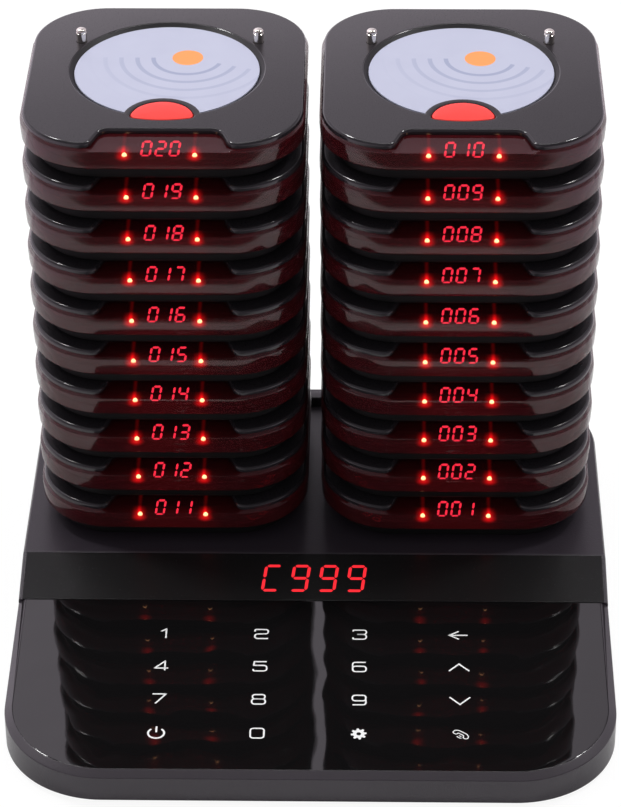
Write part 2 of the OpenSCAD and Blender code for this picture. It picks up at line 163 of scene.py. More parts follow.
@dataclass(frozen=True)
class MouldedPlastic(Finish):
    """ABS from a textured mould: an even dark colour, a soft shine and a fine grain."""

    colour: str
    other_colour: str
    roughness: float
    grain_mm: float = 0.45
    grain_depth_mm: float = 0.012
    blotch_mm: float = 18.0
    roughness_spread: float = 0.06
    shine: float = 0.5
    lip_roughness: float | None = None
    lip_normal_z: Pair = (0.92, 0.997)
    crown_r_mm: float | None = None
    ior: float = 1.5

    def crown(self, tree: NodeTree) -> NodeSocket:
        """Tips the normals as on a top that is moulded with a very slight crown.

        Args:
            tree: the material's tree.

        Returns:
            The tipped normal.
        """
        local = add_node(tree, "ShaderNodeAttribute", attribute_name=LOCAL)
        flat = add_node(
            tree, "ShaderNodeVectorMath", {0: local.outputs["Vector"], 1: IN_PLAN}, operation="MULTIPLY"
        )
        square = add_node(tree, "ShaderNodeVectorMath", {0: flat, 1: flat}, operation="DOT_PRODUCT")
        height = add_node(
            tree, "ShaderNodeMath", {0: square.outputs["Value"], 1: -1 / (2 * self.crown_r_mm)},
            operation="MULTIPLY",
        )
        return add_node(tree, "ShaderNodeBump", {"Height": height, "Distance": MM}).outputs["Normal"]

    def polished(self, tree: NodeTree, shine: NodeSocket) -> NodeSocket:
        """Lowers the roughness where the surface turns away from the flat top.

        Args:
            tree: the material's tree.
            shine: the flat top's roughness.

        Returns:
            The roughness all over.
        """
        facing = add_node(
            tree, "ShaderNodeSeparateXYZ", {0: add_node(tree, "ShaderNodeNewGeometry").outputs["Normal"]}
        )
        return add_node(
            tree, "ShaderNodeMapRange",
            {"Value": facing.outputs["Z"], "From Min": self.lip_normal_z[0],
             "From Max": self.lip_normal_z[1], "To Min": self.lip_roughness, "To Max": shine},
        ).outputs["Result"]

    def surface(self, tree: NodeTree) -> Node:
        """The plastic: its grain in the bump, faint blotches in colour and shine.

        Args:
            tree: the material's tree.

        Returns:
            The surface's shader.
        """
        where = add_node(tree, "ShaderNodeTexCoord").outputs["Object"]
        blotch = add_node(
            tree, "ShaderNodeTexNoise", {"Vector": where, "Scale": 1 / (self.blotch_mm * MM), "Detail": 3.0}
        )
        grain = add_node(
            tree, "ShaderNodeTexNoise", {"Vector": where, "Scale": 1 / (self.grain_mm * MM), "Detail": 2.0}
        )
        tint = add_node(
            tree, "ShaderNodeMix", {0: blotch, 6: linear(self.colour), 7: linear(self.other_colour)},
            data_type="RGBA",
        )
        shine = add_node(
            tree, "ShaderNodeMapRange",
            {"Value": grain, "To Min": self.roughness - self.roughness_spread,
             "To Max": self.roughness + self.roughness_spread},
        )
        bump = add_node(tree, "ShaderNodeBump", {"Height": grain, "Distance": self.grain_depth_mm * MM})
        rough = shine.outputs["Result"]
        if self.lip_roughness is not None:
            rough = self.polished(tree, rough)
        if self.crown_r_mm is not None:
            tree.links.new(self.crown(tree), bump.inputs["Normal"])
        return add_node(
            tree, "ShaderNodeBsdfPrincipled",
            {"Base Color": tint.outputs[2], "Roughness": rough, "Normal": bump, "IOR": self.ior,
             "Specular IOR Level": self.shine},
        )


@dataclass(frozen=True)
class SmokedBand(Finish):
    """Red-tinted polycarbonate: dark, glossy and clear enough for the digits behind it.

    The light that the two front lamps spread inside the plastic is a glow of its own: a halo
    round each lamp, a streak up the sloping window and a faint haze between the lamps. All of
    it is laid out in the pager's own millimetres.
    """

    colour: str
    roughness: float
    cover: float
    glow: str
    glow_strength: float
    lamp_x: float
    lamp_z: float
    halo_reach: float
    halo_core: float = 0.4
    halo_droop: float = 1.5
    halo_power: float = 2.6
    window_z: float = 13.1
    window_fade: float = 0.2
    below_window: float = 0.62
    front_y: Pair = (-44.0, -47.5)
    streak_half: float = 1.0
    streak_y: Pair = (-47.4, -43.5)
    streak_level: Pair = (0.6, 0.05)
    haze_x: Pair = (19.0, 10.0)
    haze_level: float = 0.014
    ripple_per_mm: float = 0.06
    ripple_depth_mm: float = 0.12
    ripple_strength: float = 0.5
    ior: float = 1.58

    def halo(self, tree: NodeTree, across: NodeSocket, height: NodeSocket) -> NodeSocket:
        """The glow round each lamp, which falls off faster under it than over it.

        Args:
            tree: the material's tree.
            across: sideways distance from the lamp.
            height: the place's Z.

        Returns:
            The glow's share, from 0 to 1.
        """
        up = add_node(tree, "ShaderNodeMath", {0: height, 1: self.lamp_z}, operation="SUBTRACT")
        down = add_node(tree, "ShaderNodeMath", {0: up, 1: -self.halo_droop}, operation="MULTIPLY")
        rise = add_node(tree, "ShaderNodeMath", {0: up, 1: down}, operation="MAXIMUM")
        offset = add_node(tree, "ShaderNodeCombineXYZ", {0: across, 1: rise})
        distance = add_node(tree, "ShaderNodeVectorMath", {0: offset}, operation="LENGTH")
        near = add_node(
            tree, "ShaderNodeMapRange",
            {"Value": distance.outputs["Value"], "From Min": self.halo_reach, "From Max": self.halo_core},
            interpolation_type="SMOOTHSTEP",
        )
        upright = add_node(
            tree, "ShaderNodeMapRange",
            {"Value": height, "From Min": self.window_z - self.window_fade,
             "From Max": self.window_z + self.window_fade, "To Min": self.below_window},
        )
        fall = add_node(tree, "ShaderNodeMath", {0: near, 1: self.halo_power}, operation="POWER")
        return add_node(tree, "ShaderNodeMath", {0: fall, 1: upright}, operation="MULTIPLY").outputs[0]

    def streak(self, tree: NodeTree, across: NodeSocket, places: Sequence[NodeSocket]) -> NodeSocket:
        """The thin line of light that each lamp draws up the sloping window.

        Args:
            tree: the material's tree.
            across: sideways distance from the lamp.
            places: the place's X, Y and Z.

        Returns:
            The line's share.
        """
        thin = add_node(tree, "ShaderNodeMath", {0: across}, operation="ABSOLUTE")
        line = add_node(
            tree, "ShaderNodeMapRange", {"Value": thin, "From Min": self.streak_half, "From Max": 0.0},
            interpolation_type="SMOOTHSTEP",
        ).outputs[0]
        along = add_node(
            tree, "ShaderNodeMapRange",
            {"Value": places[1], "From Min": self.streak_y[0], "From Max": self.streak_y[1],
             "To Min": self.streak_level[0], "To Max": self.streak_level[1]},
            interpolation_type="SMOOTHSTEP",
        )
        on_slope = add_node(
            tree, "ShaderNodeMath", {0: places[2], 1: self.window_z}, operation="GREATER_THAN"
        )
        for share in (along, on_slope):
            line = add_node(tree, "ShaderNodeMath", {0: line, 1: share}, operation="MULTIPLY").outputs[0]
        return line

    def glow_of(self, tree: NodeTree, local: NodeSocket) -> NodeSocket:
        """Adds up the halo, the streak and the haze.

        Args:
            tree: the material's tree.
            local: the place in the pager's own millimetres.

        Returns:
            The glow's strength.
        """
        split = add_node(tree, "ShaderNodeSeparateXYZ", {0: local})
        places = [split.outputs[axis] for axis in "XYZ"]
        side = add_node(tree, "ShaderNodeMath", {0: places[0]}, operation="ABSOLUTE")
        across = add_node(
            tree, "ShaderNodeMath", {0: side, 1: self.lamp_x}, operation="SUBTRACT"
        ).outputs[0]
        front = add_node(
            tree, "ShaderNodeMapRange",
            {"Value": places[1], "From Min": self.front_y[0], "From Max": self.front_y[1]},
        )
        haze = add_node(
            tree, "ShaderNodeMapRange",
            {"Value": side, "From Min": self.haze_x[0],
             "From Max": self.haze_x[1], "To Max": self.haze_level},
            interpolation_type="SMOOTHSTEP",
        )
        total = self.streak(tree, across, places)
        for share in (self.halo(tree, across, places[2]), haze.outputs[0]):
            at_front = add_node(tree, "ShaderNodeMath", {0: share, 1: front}, operation="MULTIPLY")
            total = add_node(tree, "ShaderNodeMath", {0: total, 1: at_front}, operation="ADD").outputs[0]
        return add_node(
            tree, "ShaderNodeMath", {0: total, 1: self.glow_strength}, operation="MULTIPLY"
        ).outputs[0]

    def surface(self, tree: NodeTree) -> Node:
        """The tinted plastic, with light from the two lamps spreading inside it.

        Args:
            tree: the material's tree.

        Returns:
            The surface's shader.
        """
        local = add_node(tree, "ShaderNodeAttribute", attribute_name=LOCAL)
        ripple = add_node(
            tree, "ShaderNodeTexNoise",
            {"Vector": local.outputs["Vector"], "Scale": self.ripple_per_mm, "Detail": 1.0},
        )
        bump = add_node(
            tree, "ShaderNodeBump",
            {"Height": ripple, "Distance": self.ripple_depth_mm * MM, "Strength": self.ripple_strength},
        )
        return add_node(
            tree, "ShaderNodeBsdfPrincipled",
            {"Base Color": linear(self.colour), "Roughness": self.roughness, "IOR": self.ior,
             "Alpha": self.cover, "Normal": bump, "Emission Color": linear(self.glow),
             "Emission Strength": self.glow_of(tree, local.outputs["Vector"])},
        )


@dataclass(frozen=True)
class PrintedDisc(Finish):
    """A satin vinyl disc, printed with an orange spot and grey-blue ripples round it."""

    paper: str
    paper_shade: str
    spot: str
    ripple: str
    spot_at: Pair = (6.5, 12.5)
    spot_r: float = 5.2
    ripple_gap: float = 2.0
    ripple_step: float = 5.4
    ripple_width: float = 1.5
    ripple_end: float = 34.0
    ripple_level: float = 0.95
    ripple_angle: float = -0.35
    shade_per_mm: float = 0.09
    roughness: float = 0.42
    ior: float = 1.45

    def ripples(self, tree: NodeTree, moved: NodeSocket, reach: NodeSocket) -> NodeSocket:
        """Where the ripples are printed: rings in a sector, paler the further out.

        Args:
            tree: the material's tree.
            moved: the place, seen from the spot.
            reach: the distance from the spot.

        Returns:
            The ink's share, from 0 to 1.
        """
        phase = add_node(tree, "ShaderNodeMath", {0: reach, 1: self.ripple_step}, operation="MODULO")
        drawn = add_node(
            tree, "ShaderNodeMath", {0: phase, 1: self.ripple_width}, operation="LESS_THAN"
        ).outputs[0]
        outside = add_node(
            tree, "ShaderNodeMath", {0: reach, 1: self.spot_r + self.ripple_gap}, operation="GREATER_THAN"
        )
        fade = add_node(
            tree, "ShaderNodeMapRange",
            {"Value": reach, "From Min": self.spot_r, "From Max": self.ripple_end,
             "To Min": self.ripple_level, "To Max": 0.0},
        )
        split = add_node(tree, "ShaderNodeSeparateXYZ", {0: moved})
        angle = add_node(
            tree, "ShaderNodeMath", {0: split.outputs["Y"], 1: split.outputs["X"]}, operation="ARCTAN2"
        )
        sector = add_node(tree, "ShaderNodeMath", {0: angle, 1: self.ripple_angle}, operation="LESS_THAN")
        for share in (outside, fade, sector):
            drawn = add_node(tree, "ShaderNodeMath", {0: drawn, 1: share}, operation="MULTIPLY").outputs[0]
        return drawn

    def surface(self, tree: NodeTree) -> Node:
        """The print, laid out by distances on the disc, in millimetres.

        Args:
            tree: the material's tree.

        Returns:
            The surface's shader.
        """
        local = add_node(tree, "ShaderNodeAttribute", attribute_name=LOCAL)
        moved = add_node(
            tree, "ShaderNodeVectorMath",
            {0: local.outputs["Vector"], 1: (*self.spot_at, 0)}, operation="SUBTRACT",
        )
        flat = add_node(tree, "ShaderNodeVectorMath", {0: moved, 1: IN_PLAN}, operation="MULTIPLY")
        reach = add_node(tree, "ShaderNodeVectorMath", {0: flat}, operation="LENGTH").outputs["Value"]
        shade = add_node(
            tree, "ShaderNodeTexNoise",
            {"Vector": local.outputs["Vector"], "Scale": self.shade_per_mm, "Detail": 2.0},
        )
        in_spot = add_node(tree, "ShaderNodeMath", {0: reach, 1: self.spot_r}, operation="LESS_THAN")
        ink = linear(self.paper)
        for share, colour in (
            (shade.outputs["Fac"], self.paper_shade),
            (self.ripples(tree, moved.outputs[0], reach), self.ripple),
            (in_spot.outputs[0], self.spot),
        ):
            ink = add_node(
                tree, "ShaderNodeMix", {0: share, 6: ink, 7: linear(colour)}, data_type="RGBA"
            ).outputs[2]
        return add_node(
            tree, "ShaderNodeBsdfPrincipled",
            {"Base Color": ink, "Roughness": self.roughness, "IOR": self.ior},
        )


@dataclass(frozen=True)
class GlossPanel(Finish):
    """Black acrylic, pressed flat: a mirror that wavers a little over some centimetres."""

    colour: str
    roughness: float
    waver_mm: float
    waver_depth_mm: float
    ior: float = 1.5
    dust_mm: float = 0.8
    dust_level: Pair = (0.3, 0.8)
    dust_roughness: float = 0.03

    def surface(self, tree: NodeTree) -> Node:
        """The gloss, with its slow waver and a trace of dust in the shine.

        Args:
            tree: the material's tree.

        Returns:
            The surface's shader.
        """
        where = add_node(tree, "ShaderNodeTexCoord").outputs["Object"]
        waver = add_node(
            tree, "ShaderNodeTexNoise", {"Vector": where, "Scale": 1 / (self.waver_mm * MM), "Detail": 1.0}
        )
        dust = add_node(
            tree, "ShaderNodeTexNoise", {"Vector": where, "Scale": 1 / (self.dust_mm * MM), "Detail": 3.0}
        )
        bump = add_node(tree, "ShaderNodeBump", {"Height": waver, "Distance": self.waver_depth_mm * MM})
        shine = add_node(
            tree, "ShaderNodeMapRange",
            {"Value": dust, "From Min": self.dust_level[0], "From Max": self.dust_level[1],
             "To Min": self.roughness, "To Max": self.roughness + self.dust_roughness},
        )
        return add_node(
            tree, "ShaderNodeBsdfPrincipled",
            {"Base Color": linear(self.colour), "Roughness": shine, "IOR": self.ior, "Normal": bump},
        )


@dataclass(frozen=True)
class NickelPlate(Finish):
    """Turned brass with a nickel plate: bright, with faint turning lines."""

    colour: str
    roughness: float
    roughness_spread: float = 0.12
    line_mm: float = 1.6
    line_waver: float = 0.4

    def surface(self, tree: NodeTree) -> Node:
        """The metal, with fine rings up its height from the lathe.

        Args:
            tree: the material's tree.

        Returns:
            The surface's shader.
        """
        where = add_node(tree, "ShaderNodeTexCoord").outputs["Object"]
        lines = add_node(
            tree, "ShaderNodeTexWave",
            {"Vector": where, "Scale": 1 / (self.line_mm * MM), "Distortion": self.line_waver},
            bands_direction="Z",
        )
        shine = add_node(
            tree, "ShaderNodeMapRange",
            {"Value": lines.outputs["Fac"], "To Min": self.roughness,
             "To Max": self.roughness + self.roughness_spread},
        )
        return add_node(
            tree, "ShaderNodeBsdfPrincipled",
            {"Base Color": linear(self.colour), "Metallic": 1.0, "Roughness": shine},
        )


@dataclass(frozen=True)
class Light(Finish):
    """A lit face of a light-emitting diode: even, and brighter than the room."""

    colour: str
    strength: float
    upward: bool = False
    spread: float = 0.15
    cloud_mm: float = 1.2
    dome_normal_z: Pair = (0.06, 0.3)
    side_level: float = 0.04
    roughness: float = 0.5

    def aimed(self, tree: NodeTree, strength: NodeSocket) -> NodeSocket:
        """Keeps the glow to the dome, as a lens does, and off the sides under it.

        Args:
            tree: the material's tree.
            strength: the dome's glow.

        Returns:
            The glow all over.
        """
        facing = add_node(
            tree, "ShaderNodeSeparateXYZ", {0: add_node(tree, "ShaderNodeNewGeometry").outputs["Normal"]}
        )
        return add_node(
            tree, "ShaderNodeMapRange",
            {"Value": facing.outputs["Z"], "From Min": self.dome_normal_z[0],
             "From Max": self.dome_normal_z[1], "To Min": self.side_level, "To Max": strength},
        ).outputs[0]

    def surface(self, tree: NodeTree) -> Node:
        """The glow over a pale diffusing resin.

        Args:
            tree: the material's tree.

        Returns:
            The surface's shader.
        """
        where = add_node(tree, "ShaderNodeTexCoord").outputs["Object"]
        cloud = add_node(tree, "ShaderNodeTexNoise", {"Vector": where, "Scale": 1 / (self.cloud_mm * MM)})
        power = add_node(
            tree, "ShaderNodeMapRange",
            {"Value": cloud, "To Min": (1 - self.spread) * self.strength,
             "To Max": (1 + self.spread) * self.strength},
        ).outputs[0]
        if self.upward:
            power = self.aimed(tree, power)
        return add_node(
            tree, "ShaderNodeBsdfPrincipled",
            {"Base Color": linear(self.colour), "Roughness": self.roughness,
             "Emission Color": linear(self.colour), "Emission Strength": power},
        )


# Satin ABS from an eroded mould: an even dark grey that lightens towards the back, where the
# slight crown mirrors the brighter part of the room, with bright lines along the lips.
SHELL = MouldedPlastic(
    "pager_shell_satin_abs", "#211e22", "#262327", 0.29, 0.35, 0.004, lip_roughness=0.12, crown_r_mm=760.0
)
# The recess's slope comes matt from the mould, and its colour is painted darker than the top's for the
# shade in the recess, so it shows as a plain dark ring.
RECESS = MouldedPlastic("recess_abs_painted_shade", "#151316", "#18161a", 0.5, shine=0.3)
# A polished part of the mould leaves the surround glossier than the satin top round it.
SURROUND = MouldedPlastic("button_surround_gloss_abs", "#161416", "#1a181a", 0.16, 0.6, 0.002)
# Coarse black ABS in the shade of the stack: almost no shine.
TRAY = MouldedPlastic("pager_tray_black_abs", "#080708", "#0c0b0c", 0.6, shine=0.25)
# Red ABS with a fine texture: a flat bright red with a broad soft sheen.
BUTTON = MouldedPlastic("button_red_abs", "#ff332c", "#ff3a31", 0.42, 0.5, 0.004)
# Polished tinted polycarbonate: near black from most sides, wine red where light gets in, with
# hard mirror images that a slow ripple from moulding, 17 mm long, bends a little.
BAND = SmokedBand("band_red_polycarbonate", "#431015", 0.06, 0.66, "#ff1014", 1.35, 11.4, 11.7, 4.2)
# Printed vinyl with a satin film: a pale lilac ground without gloss spots.
DISC = PrintedDisc("label_satin_vinyl", "#bbbdd2", "#b3b5cb", "#f79a55", "#8f96b4")
# The case's ABS has a texture of about 0.25 mm. It is drawn at 0.6 mm, coarser than real, so
# that it still breaks up the shine from a step away.
CASE = MouldedPlastic(
    "case_grained_abs", "#2a242b", "#302a32", 0.36, 0.6, 0.06, 30.0, 0.12, lip_roughness=0.22
)
# The bevels round the panel and the strip, and the deck's front edge, get a paler colour: a painted
# highlight line along them. Their grain is drawn larger than real, as on the case.
RIM = MouldedPlastic("rim_abs_painted_highlight", "#373338", "#3f3a40", 0.32, 0.55, 0.05, 30.0, 0.08)
# Plain dull ABS with no finish of its own.
CASE_BOTTOM = MouldedPlastic("case_bottom_abs", "#232124", "#282528", 0.55)
# Polished cast acrylic over black print: a dark mirror whose images waver a little.
PANEL = GlossPanel("touch_panel_black_acrylic", "#111011", 0.015, 20.0, 0.18, 1.56)
# Smoked acrylic with an anti-glare face: an even dark grey with no clear mirror image.
SMOKED = GlossPanel("display_window_smoked_acrylic", "#171617", 0.25, 40.0, 0.02, 1.35)
# Screen-printed ink: opaque and plain white.
PRINT = MouldedPlastic("key_legend_white_ink", "#f2f2f4", "#ffffff", 0.5)
# Nickel plate on turned brass: small bright highlights, broken by turning lines, which are
# drawn 1.6 mm apart, coarser than real, so that they show.
NICKEL = NickelPlate("pin_nickel_plate", "#dcd8d0", 0.12)
# Moulded rubber: black and dull.
RUBBER = MouldedPlastic("foot_black_rubber", "#131213", "#1a191a", 0.8)
# Glass-filled nylon: black with a weak sheen.
SOCKET = MouldedPlastic("socket_black_nylon", "#0e0e0f", "#151516", 0.45)
# Green lacquer over copper: smooth, with a little shine.
BOARD = MouldedPlastic("board_solder_mask", "#12301f", "#16381f", 0.4)
# Black potting, so flat that only the lit bars show.
MODULE = MouldedPlastic("display_block_black", "#0b0a0b", "#100e0f", 0.6)
# Lit red bars, bright enough to read through the tinted band.
DIGITS = Light("pager_digits_red", "#ff3048", 8.5)
# Lamp domes so bright in the middle that they look a warm near-white behind the red.
LAMP = Light("pager_lamp_red", "#ffb47c", 23.0, upward=True)
# The base's digits, as bright as the smoked window lets them through.
BASE_DIGITS = Light("base_digits_red", "#ff2834", 0.78)


# ------------ outlines


def rounded_rect(width: float, depth: float, radius: float, steps: int = 20) -> Loop:
    """A rounded rectangle's outline, anticlockwise from the front left.

    Args:
        width: size along X, in millimetres.
        depth: size along Y.
        radius: the corners' radius.
        steps: pieces in each corner's arc.

    Returns:
        The outline's points.
    """
    points = []
    for sx, sy, start in ((-1, -1, 180), (1, -1, 270), (1, 1, 0), (-1, 1, 90)):
        cx, cy = sx * (width / 2 - radius), sy * (depth / 2 - radius)
        for k in range(steps + 1):
            angle = math.radians(start + 90 * k / steps)
            points.append((cx + radius * math.cos(angle), cy + radius * math.sin(angle)))
    return np.array(points)


def split_at(loop: Loop, axis: int, values: Iterable[float], gate: float = 1e9) -> Loop:
    """Adds a point wherever an outline crosses one of some X or Y values.

    Args:
        loop: the outline.
        axis: 0 for X and 1 for Y.
        values: where to cut.
        gate: only edges whose Y is under this are cut.

    Returns:
        The outline with its new points.
    """
    points = [tuple(p) for p in loop]
    for value in values:
        out = []
        for a, b in zip(points, points[1:] + points[:1]):
            out.append(a)
            low, high = sorted((a[axis], b[axis]))
            if low + SAME_MM < value < high - SAME_MM and max(a[1], b[1]) < gate:
                t = (value - a[axis]) / (b[axis] - a[axis])
                out.append((a[0] + t * (b[0] - a[0]), a[1] + t * (b[1] - a[1])))
        points = out
    return np.array(points)


def inwards(loop: Loop) -> Loop:
    """Each point's step inwards that moves both of its edges in by one millimetre.

    Args:
        loop: an anticlockwise outline.

    Returns:
        One step for each point.
    """
    edge = np.roll(loop, -1, axis=0) - loop
    edge /= np.linalg.norm(edge, axis=1, keepdims=True)
    normal = np.stack([-edge[:, 1], edge[:, 0]], axis=1)
    both = normal + np.roll(normal, 1, axis=0)
    return both / (0.5 * (both * both).sum(axis=1, keepdims=True))


def inset(loop: Loop, distance: float | np.ndarray) -> Loop:
    """Moves an anticlockwise outline inwards by one distance, or by one for each point."""
    return loop + inwards(loop) * np.reshape(distance, (-1, 1))


def bend(start: Place, corner: Place, end: Place, steps: int = 8) -> list[Pair]:
    """A smooth turn from start to end that would otherwise meet at a corner.

    Args:
        start: where the turn starts.
        corner: where the two lines would meet.
        end: where it ends.
        steps: its pieces.

    Returns:
        The turn's points.
    """
    a, b, c = (np.array(p, float) for p in (start, corner, end))
    ts = np.linspace(0, 1, steps + 1)
    return [tuple((1 - t) ** 2 * a + 2 * t * (1 - t) * b + t * t * c) for t in ts]


def toward(start: Place, end: Place, distance: float) -> np.ndarray:
    """The point that lies a distance from start on the way to end."""
    a, b = np.array(start, float), np.array(end, float)
    return a + (b - a) * distance / np.linalg.norm(b - a)


def arc(centre: Place, radius: float, first: float, last: float, steps: int) -> list[Pair]:
    """Points on a circle between two angles in radians, both ends included.

    Args:
        centre: the circle's centre.
        radius: its radius.
        first: the angle to start at.
        last: the angle to end at.
        steps: the pieces between them.

    Returns:
        The points.
    """
    return [
        (centre[0] + radius * math.cos(a), centre[1] + radius * math.sin(a))
        for a in np.linspace(first, last, steps + 1)
    ]


def circle(centre: Place, radius: float, way: int = 1) -> list[Pair]:
    """A small hole's outline, anticlockwise for a way of 1 and clockwise for -1."""
    last = way * 2 * math.pi * (HOLE_POINTS - 1) / HOLE_POINTS
    return arc(centre, radius, 0, last, HOLE_POINTS - 1)


def inside(points: np.ndarray, loops: Sequence[Loop]) -> np.ndarray:
    """Tells which points lie in an odd number of loops.

    Args:
        points: places in plan.
        loops: the outlines.

    Returns:
        Yes or no for each point.
    """
    odd = np.zeros(len(points), bool)
    x, y = points[:, 0], points[:, 1]
    for loop in loops:
        for (x0, y0), (x1, y1) in zip(loop, np.roll(loop, -1, axis=0)):
            if y0 == y1:
                continue
            crosses = (y0 > y) != (y1 > y)
            odd ^= crosses & (x < (x1 - x0) * (y - y0) / (y1 - y0) + x0)
    return odd


# ------------ shells


class Shell:
    """One piece's points and faces, in millimetres, before it becomes a mesh."""

    def __init__(self) -> None:
        """Starts an empty shell."""
        self.points: list[tuple[float, float, float]] = []
        self.faces: list[tuple[int, ...]] = []

    def ring(self, outline: Loop, height: Height) -> list[int]:
        """Adds an outline's points at a height.

        Args:
            outline: the points in plan.
            height: one height, or a function that gives it at each point.

        Returns:
            The new points' numbers.
        """
        first = len(self.points)
        for x, y in outline:
            z = height(x, y) if callable(height) else height
            self.points.append((float(x), float(y), float(z)))
        return list(range(first, len(self.points)))

    def wall(self, low: list[int], high: list[int]) -> None:
        """Joins two rings of the same length with a band of faces.

        Args:
            low: the lower ring's point numbers.
            high: the upper ring's.
        """
        n = len(low)
        for i in range(n):
            j = (i + 1) % n
            self.faces.append((low[i], low[j], high[j], high[i]))

    def stack(self, rings: Sequence[list[int]]) -> None:
        """Joins each ring to the next one."""
        for low, high in zip(rings, rings[1:]):
            self.wall(low, high)

    def close(self, rings: Sequence[list[int]]) -> None:
        """Joins a piece's rings from one end to the other and fills both ends.

        Args:
            rings: the rings, the underside's first.
        """
        self.stack(rings)
        self.cap([rings[0]])
        self.cap([rings[-1]])

    def cap(self, loops: Sequence[list[int]]) -> None:
        """Fills the region inside the first ring and outside the others.

        Args:
            loops: rings of point numbers.
        """
        plan, edges, names = [], [], []
        for loop in loops:
            start = len(plan)
            plan += [Vector(self.points[i][:2]) for i in loop]
            names += loop
            n = len(loop)
            edges += [(start + k, start + (k + 1) % n) for k in range(n)]
        found, _, triangles, sources, _, _ = geometry.delaunay_2d_cdt(plan, edges, [], 0, TINY_MM)
        number = [names[s[0]] if s else -1 for s in sources]
        corners = np.array([found[v] for t in triangles for v in t], float)
        middles = corners.reshape(-1, 3, 2).mean(axis=1)
        rings = [np.array([self.points[i][:2] for i in loop]) for loop in loops]
        for triangle, keep in zip(triangles, inside(middles, rings)):
            face = tuple(number[v] for v in triangle)
            if keep and -1 not in face and len(set(face)) == 3:
                self.faces.append(face)

    def revolve(self, profile: Sequence[Pair], centre: Place, steps: int = 24) -> None:
        """Turns a side view of radius and height round an upright axis.

        Args:
            profile: radius and height of each corner.
            centre: the axis in plan.
            steps: the pieces all round.
        """
        rings = []
        for radius, z in profile:
            if radius < TINY_MM:
                self.points.append((centre[0], centre[1], z))
                rings.append([len(self.points) - 1] * steps)
            else:
                turn = 2 * math.pi * (1 - 1 / steps)
                rings.append(self.ring(arc(centre, radius, 0, turn, steps - 1), z))
        for low, high in zip(rings, rings[1:]):
            for i in range(steps):
                j = (i + 1) % steps
                face = (low[i], low[j], high[j], high[i])
                self.faces.append(tuple(dict.fromkeys(face)))

    def mesh(self, name: str, materials: Sequence[Material],
             pick: Callable[[Vector, Vector], int] | None = None) -> Mesh:
        """Turns the shell into a closed mesh with outward faces.

        Args:
            name: the mesh's name.
            materials: its finishes.
            pick: gives a face's finish number from its middle and its normal.

        Returns:
            The mesh, in metres, with each point's own place kept in millimetres.
        """
        shape = bmesh.new()
        points = [shape.verts.new(p) for p in self.points]
        for face in self.faces:
            try:
                shape.faces.new([points[i] for i in face])
            except ValueError:
                continue
        bmesh.ops.remove_doubles(shape, verts=shape.verts, dist=SAME_MM)
        bmesh.ops.dissolve_degenerate(shape, edges=shape.edges, dist=THIN_MM)
        loose = [v for v in shape.verts if not v.link_faces]
        bmesh.ops.delete(shape, geom=loose, context="VERTS")
        bmesh.ops.recalc_face_normals(shape, faces=shape.faces)
        for face in shape.faces:
            face.smooth = True
            if pick:
                face.material_index = pick(face.calc_center_median(), face.normal)
        mesh = bpy.data.meshes.new(name)
        shape.to_mesh(mesh)
        shape.free()
        return dressed(mesh, materials)


def dressed(mesh: Mesh, materials: Sequence[Material]) -> Mesh:
    """Keeps a mesh's places as an attribute, turns it to metres and gives it finishes.

    Args:
        mesh: a mesh in millimetres.
        materials: its finishes, if it has none yet.

    Returns:
        The same mesh.
    """
    places = np.empty(len(mesh.vertices) * 3, np.float32)
    mesh.vertices.foreach_get("co", places)
    kept = mesh.attributes.new(LOCAL, "FLOAT_VECTOR", "POINT")
    kept.data.foreach_set("vector", places)
    mesh.transform(Matrix.Scale(MM, 4))
    for material in materials:
        mesh.materials.append(material)
    mesh.set_sharp_from_angle(angle=SHARP_ANGLE)
    return mesh


def add_object(name: str, data: Mesh | bpy.types.Camera | bpy.types.Light) -> Object:
    """Makes an object of some data and puts it in the scene.

    Args:
        name: the object's name.
        data: what it shows.

    Returns:
        The object.
    """
    made = bpy.data.objects.new(name, data)
    bpy.context.scene.collection.objects.link(made)
    return made


def place(mesh: Mesh, name: str, at: Place = (0, 0, 0)) -> Object:
    """Puts a copy of a mesh in the scene, with its place in the mesh.

    Args:
        mesh: the mesh to copy.
        name: the piece's name.
        at: where to move it, in millimetres.

    Returns:
        The new object.
    """
    copy = mesh.copy()
    copy.name = name
    copy.transform(Matrix.Translation(Vector(at) * MM))
    return add_object(name, copy)


def even_shading(mesh: Mesh) -> Mesh:
    """Weights a mesh's normals by face size, so that flat faces shade flat.

    Args:
        mesh: the mesh to treat.

    Returns:
        A new mesh with the weighted normals.
    """
    carrier = add_object("carrier", mesh)
    weighted = carrier.modifiers.new("even", "WEIGHTED_NORMAL")
    weighted.keep_sharp = True
    graph = bpy.context.evaluated_depsgraph_get()
    result = bpy.data.meshes.new_from_object(
        carrier.evaluated_get(graph), preserve_all_data_layers=True, depsgraph=graph
    )
    bpy.data.objects.remove(carrier)
    return result


def quarter(radius: float, steps: int = 5) -> list[Pair]:
    """Insets and drops of a rounded edge, from the flat top round to the upright side."""
    turns = [math.pi / 2 * k / steps for k in range(steps + 1)]
    return [(radius * (1 - math.sin(a)), radius * (1 - math.cos(a))) for a in turns]


# ------------ strokes and digits


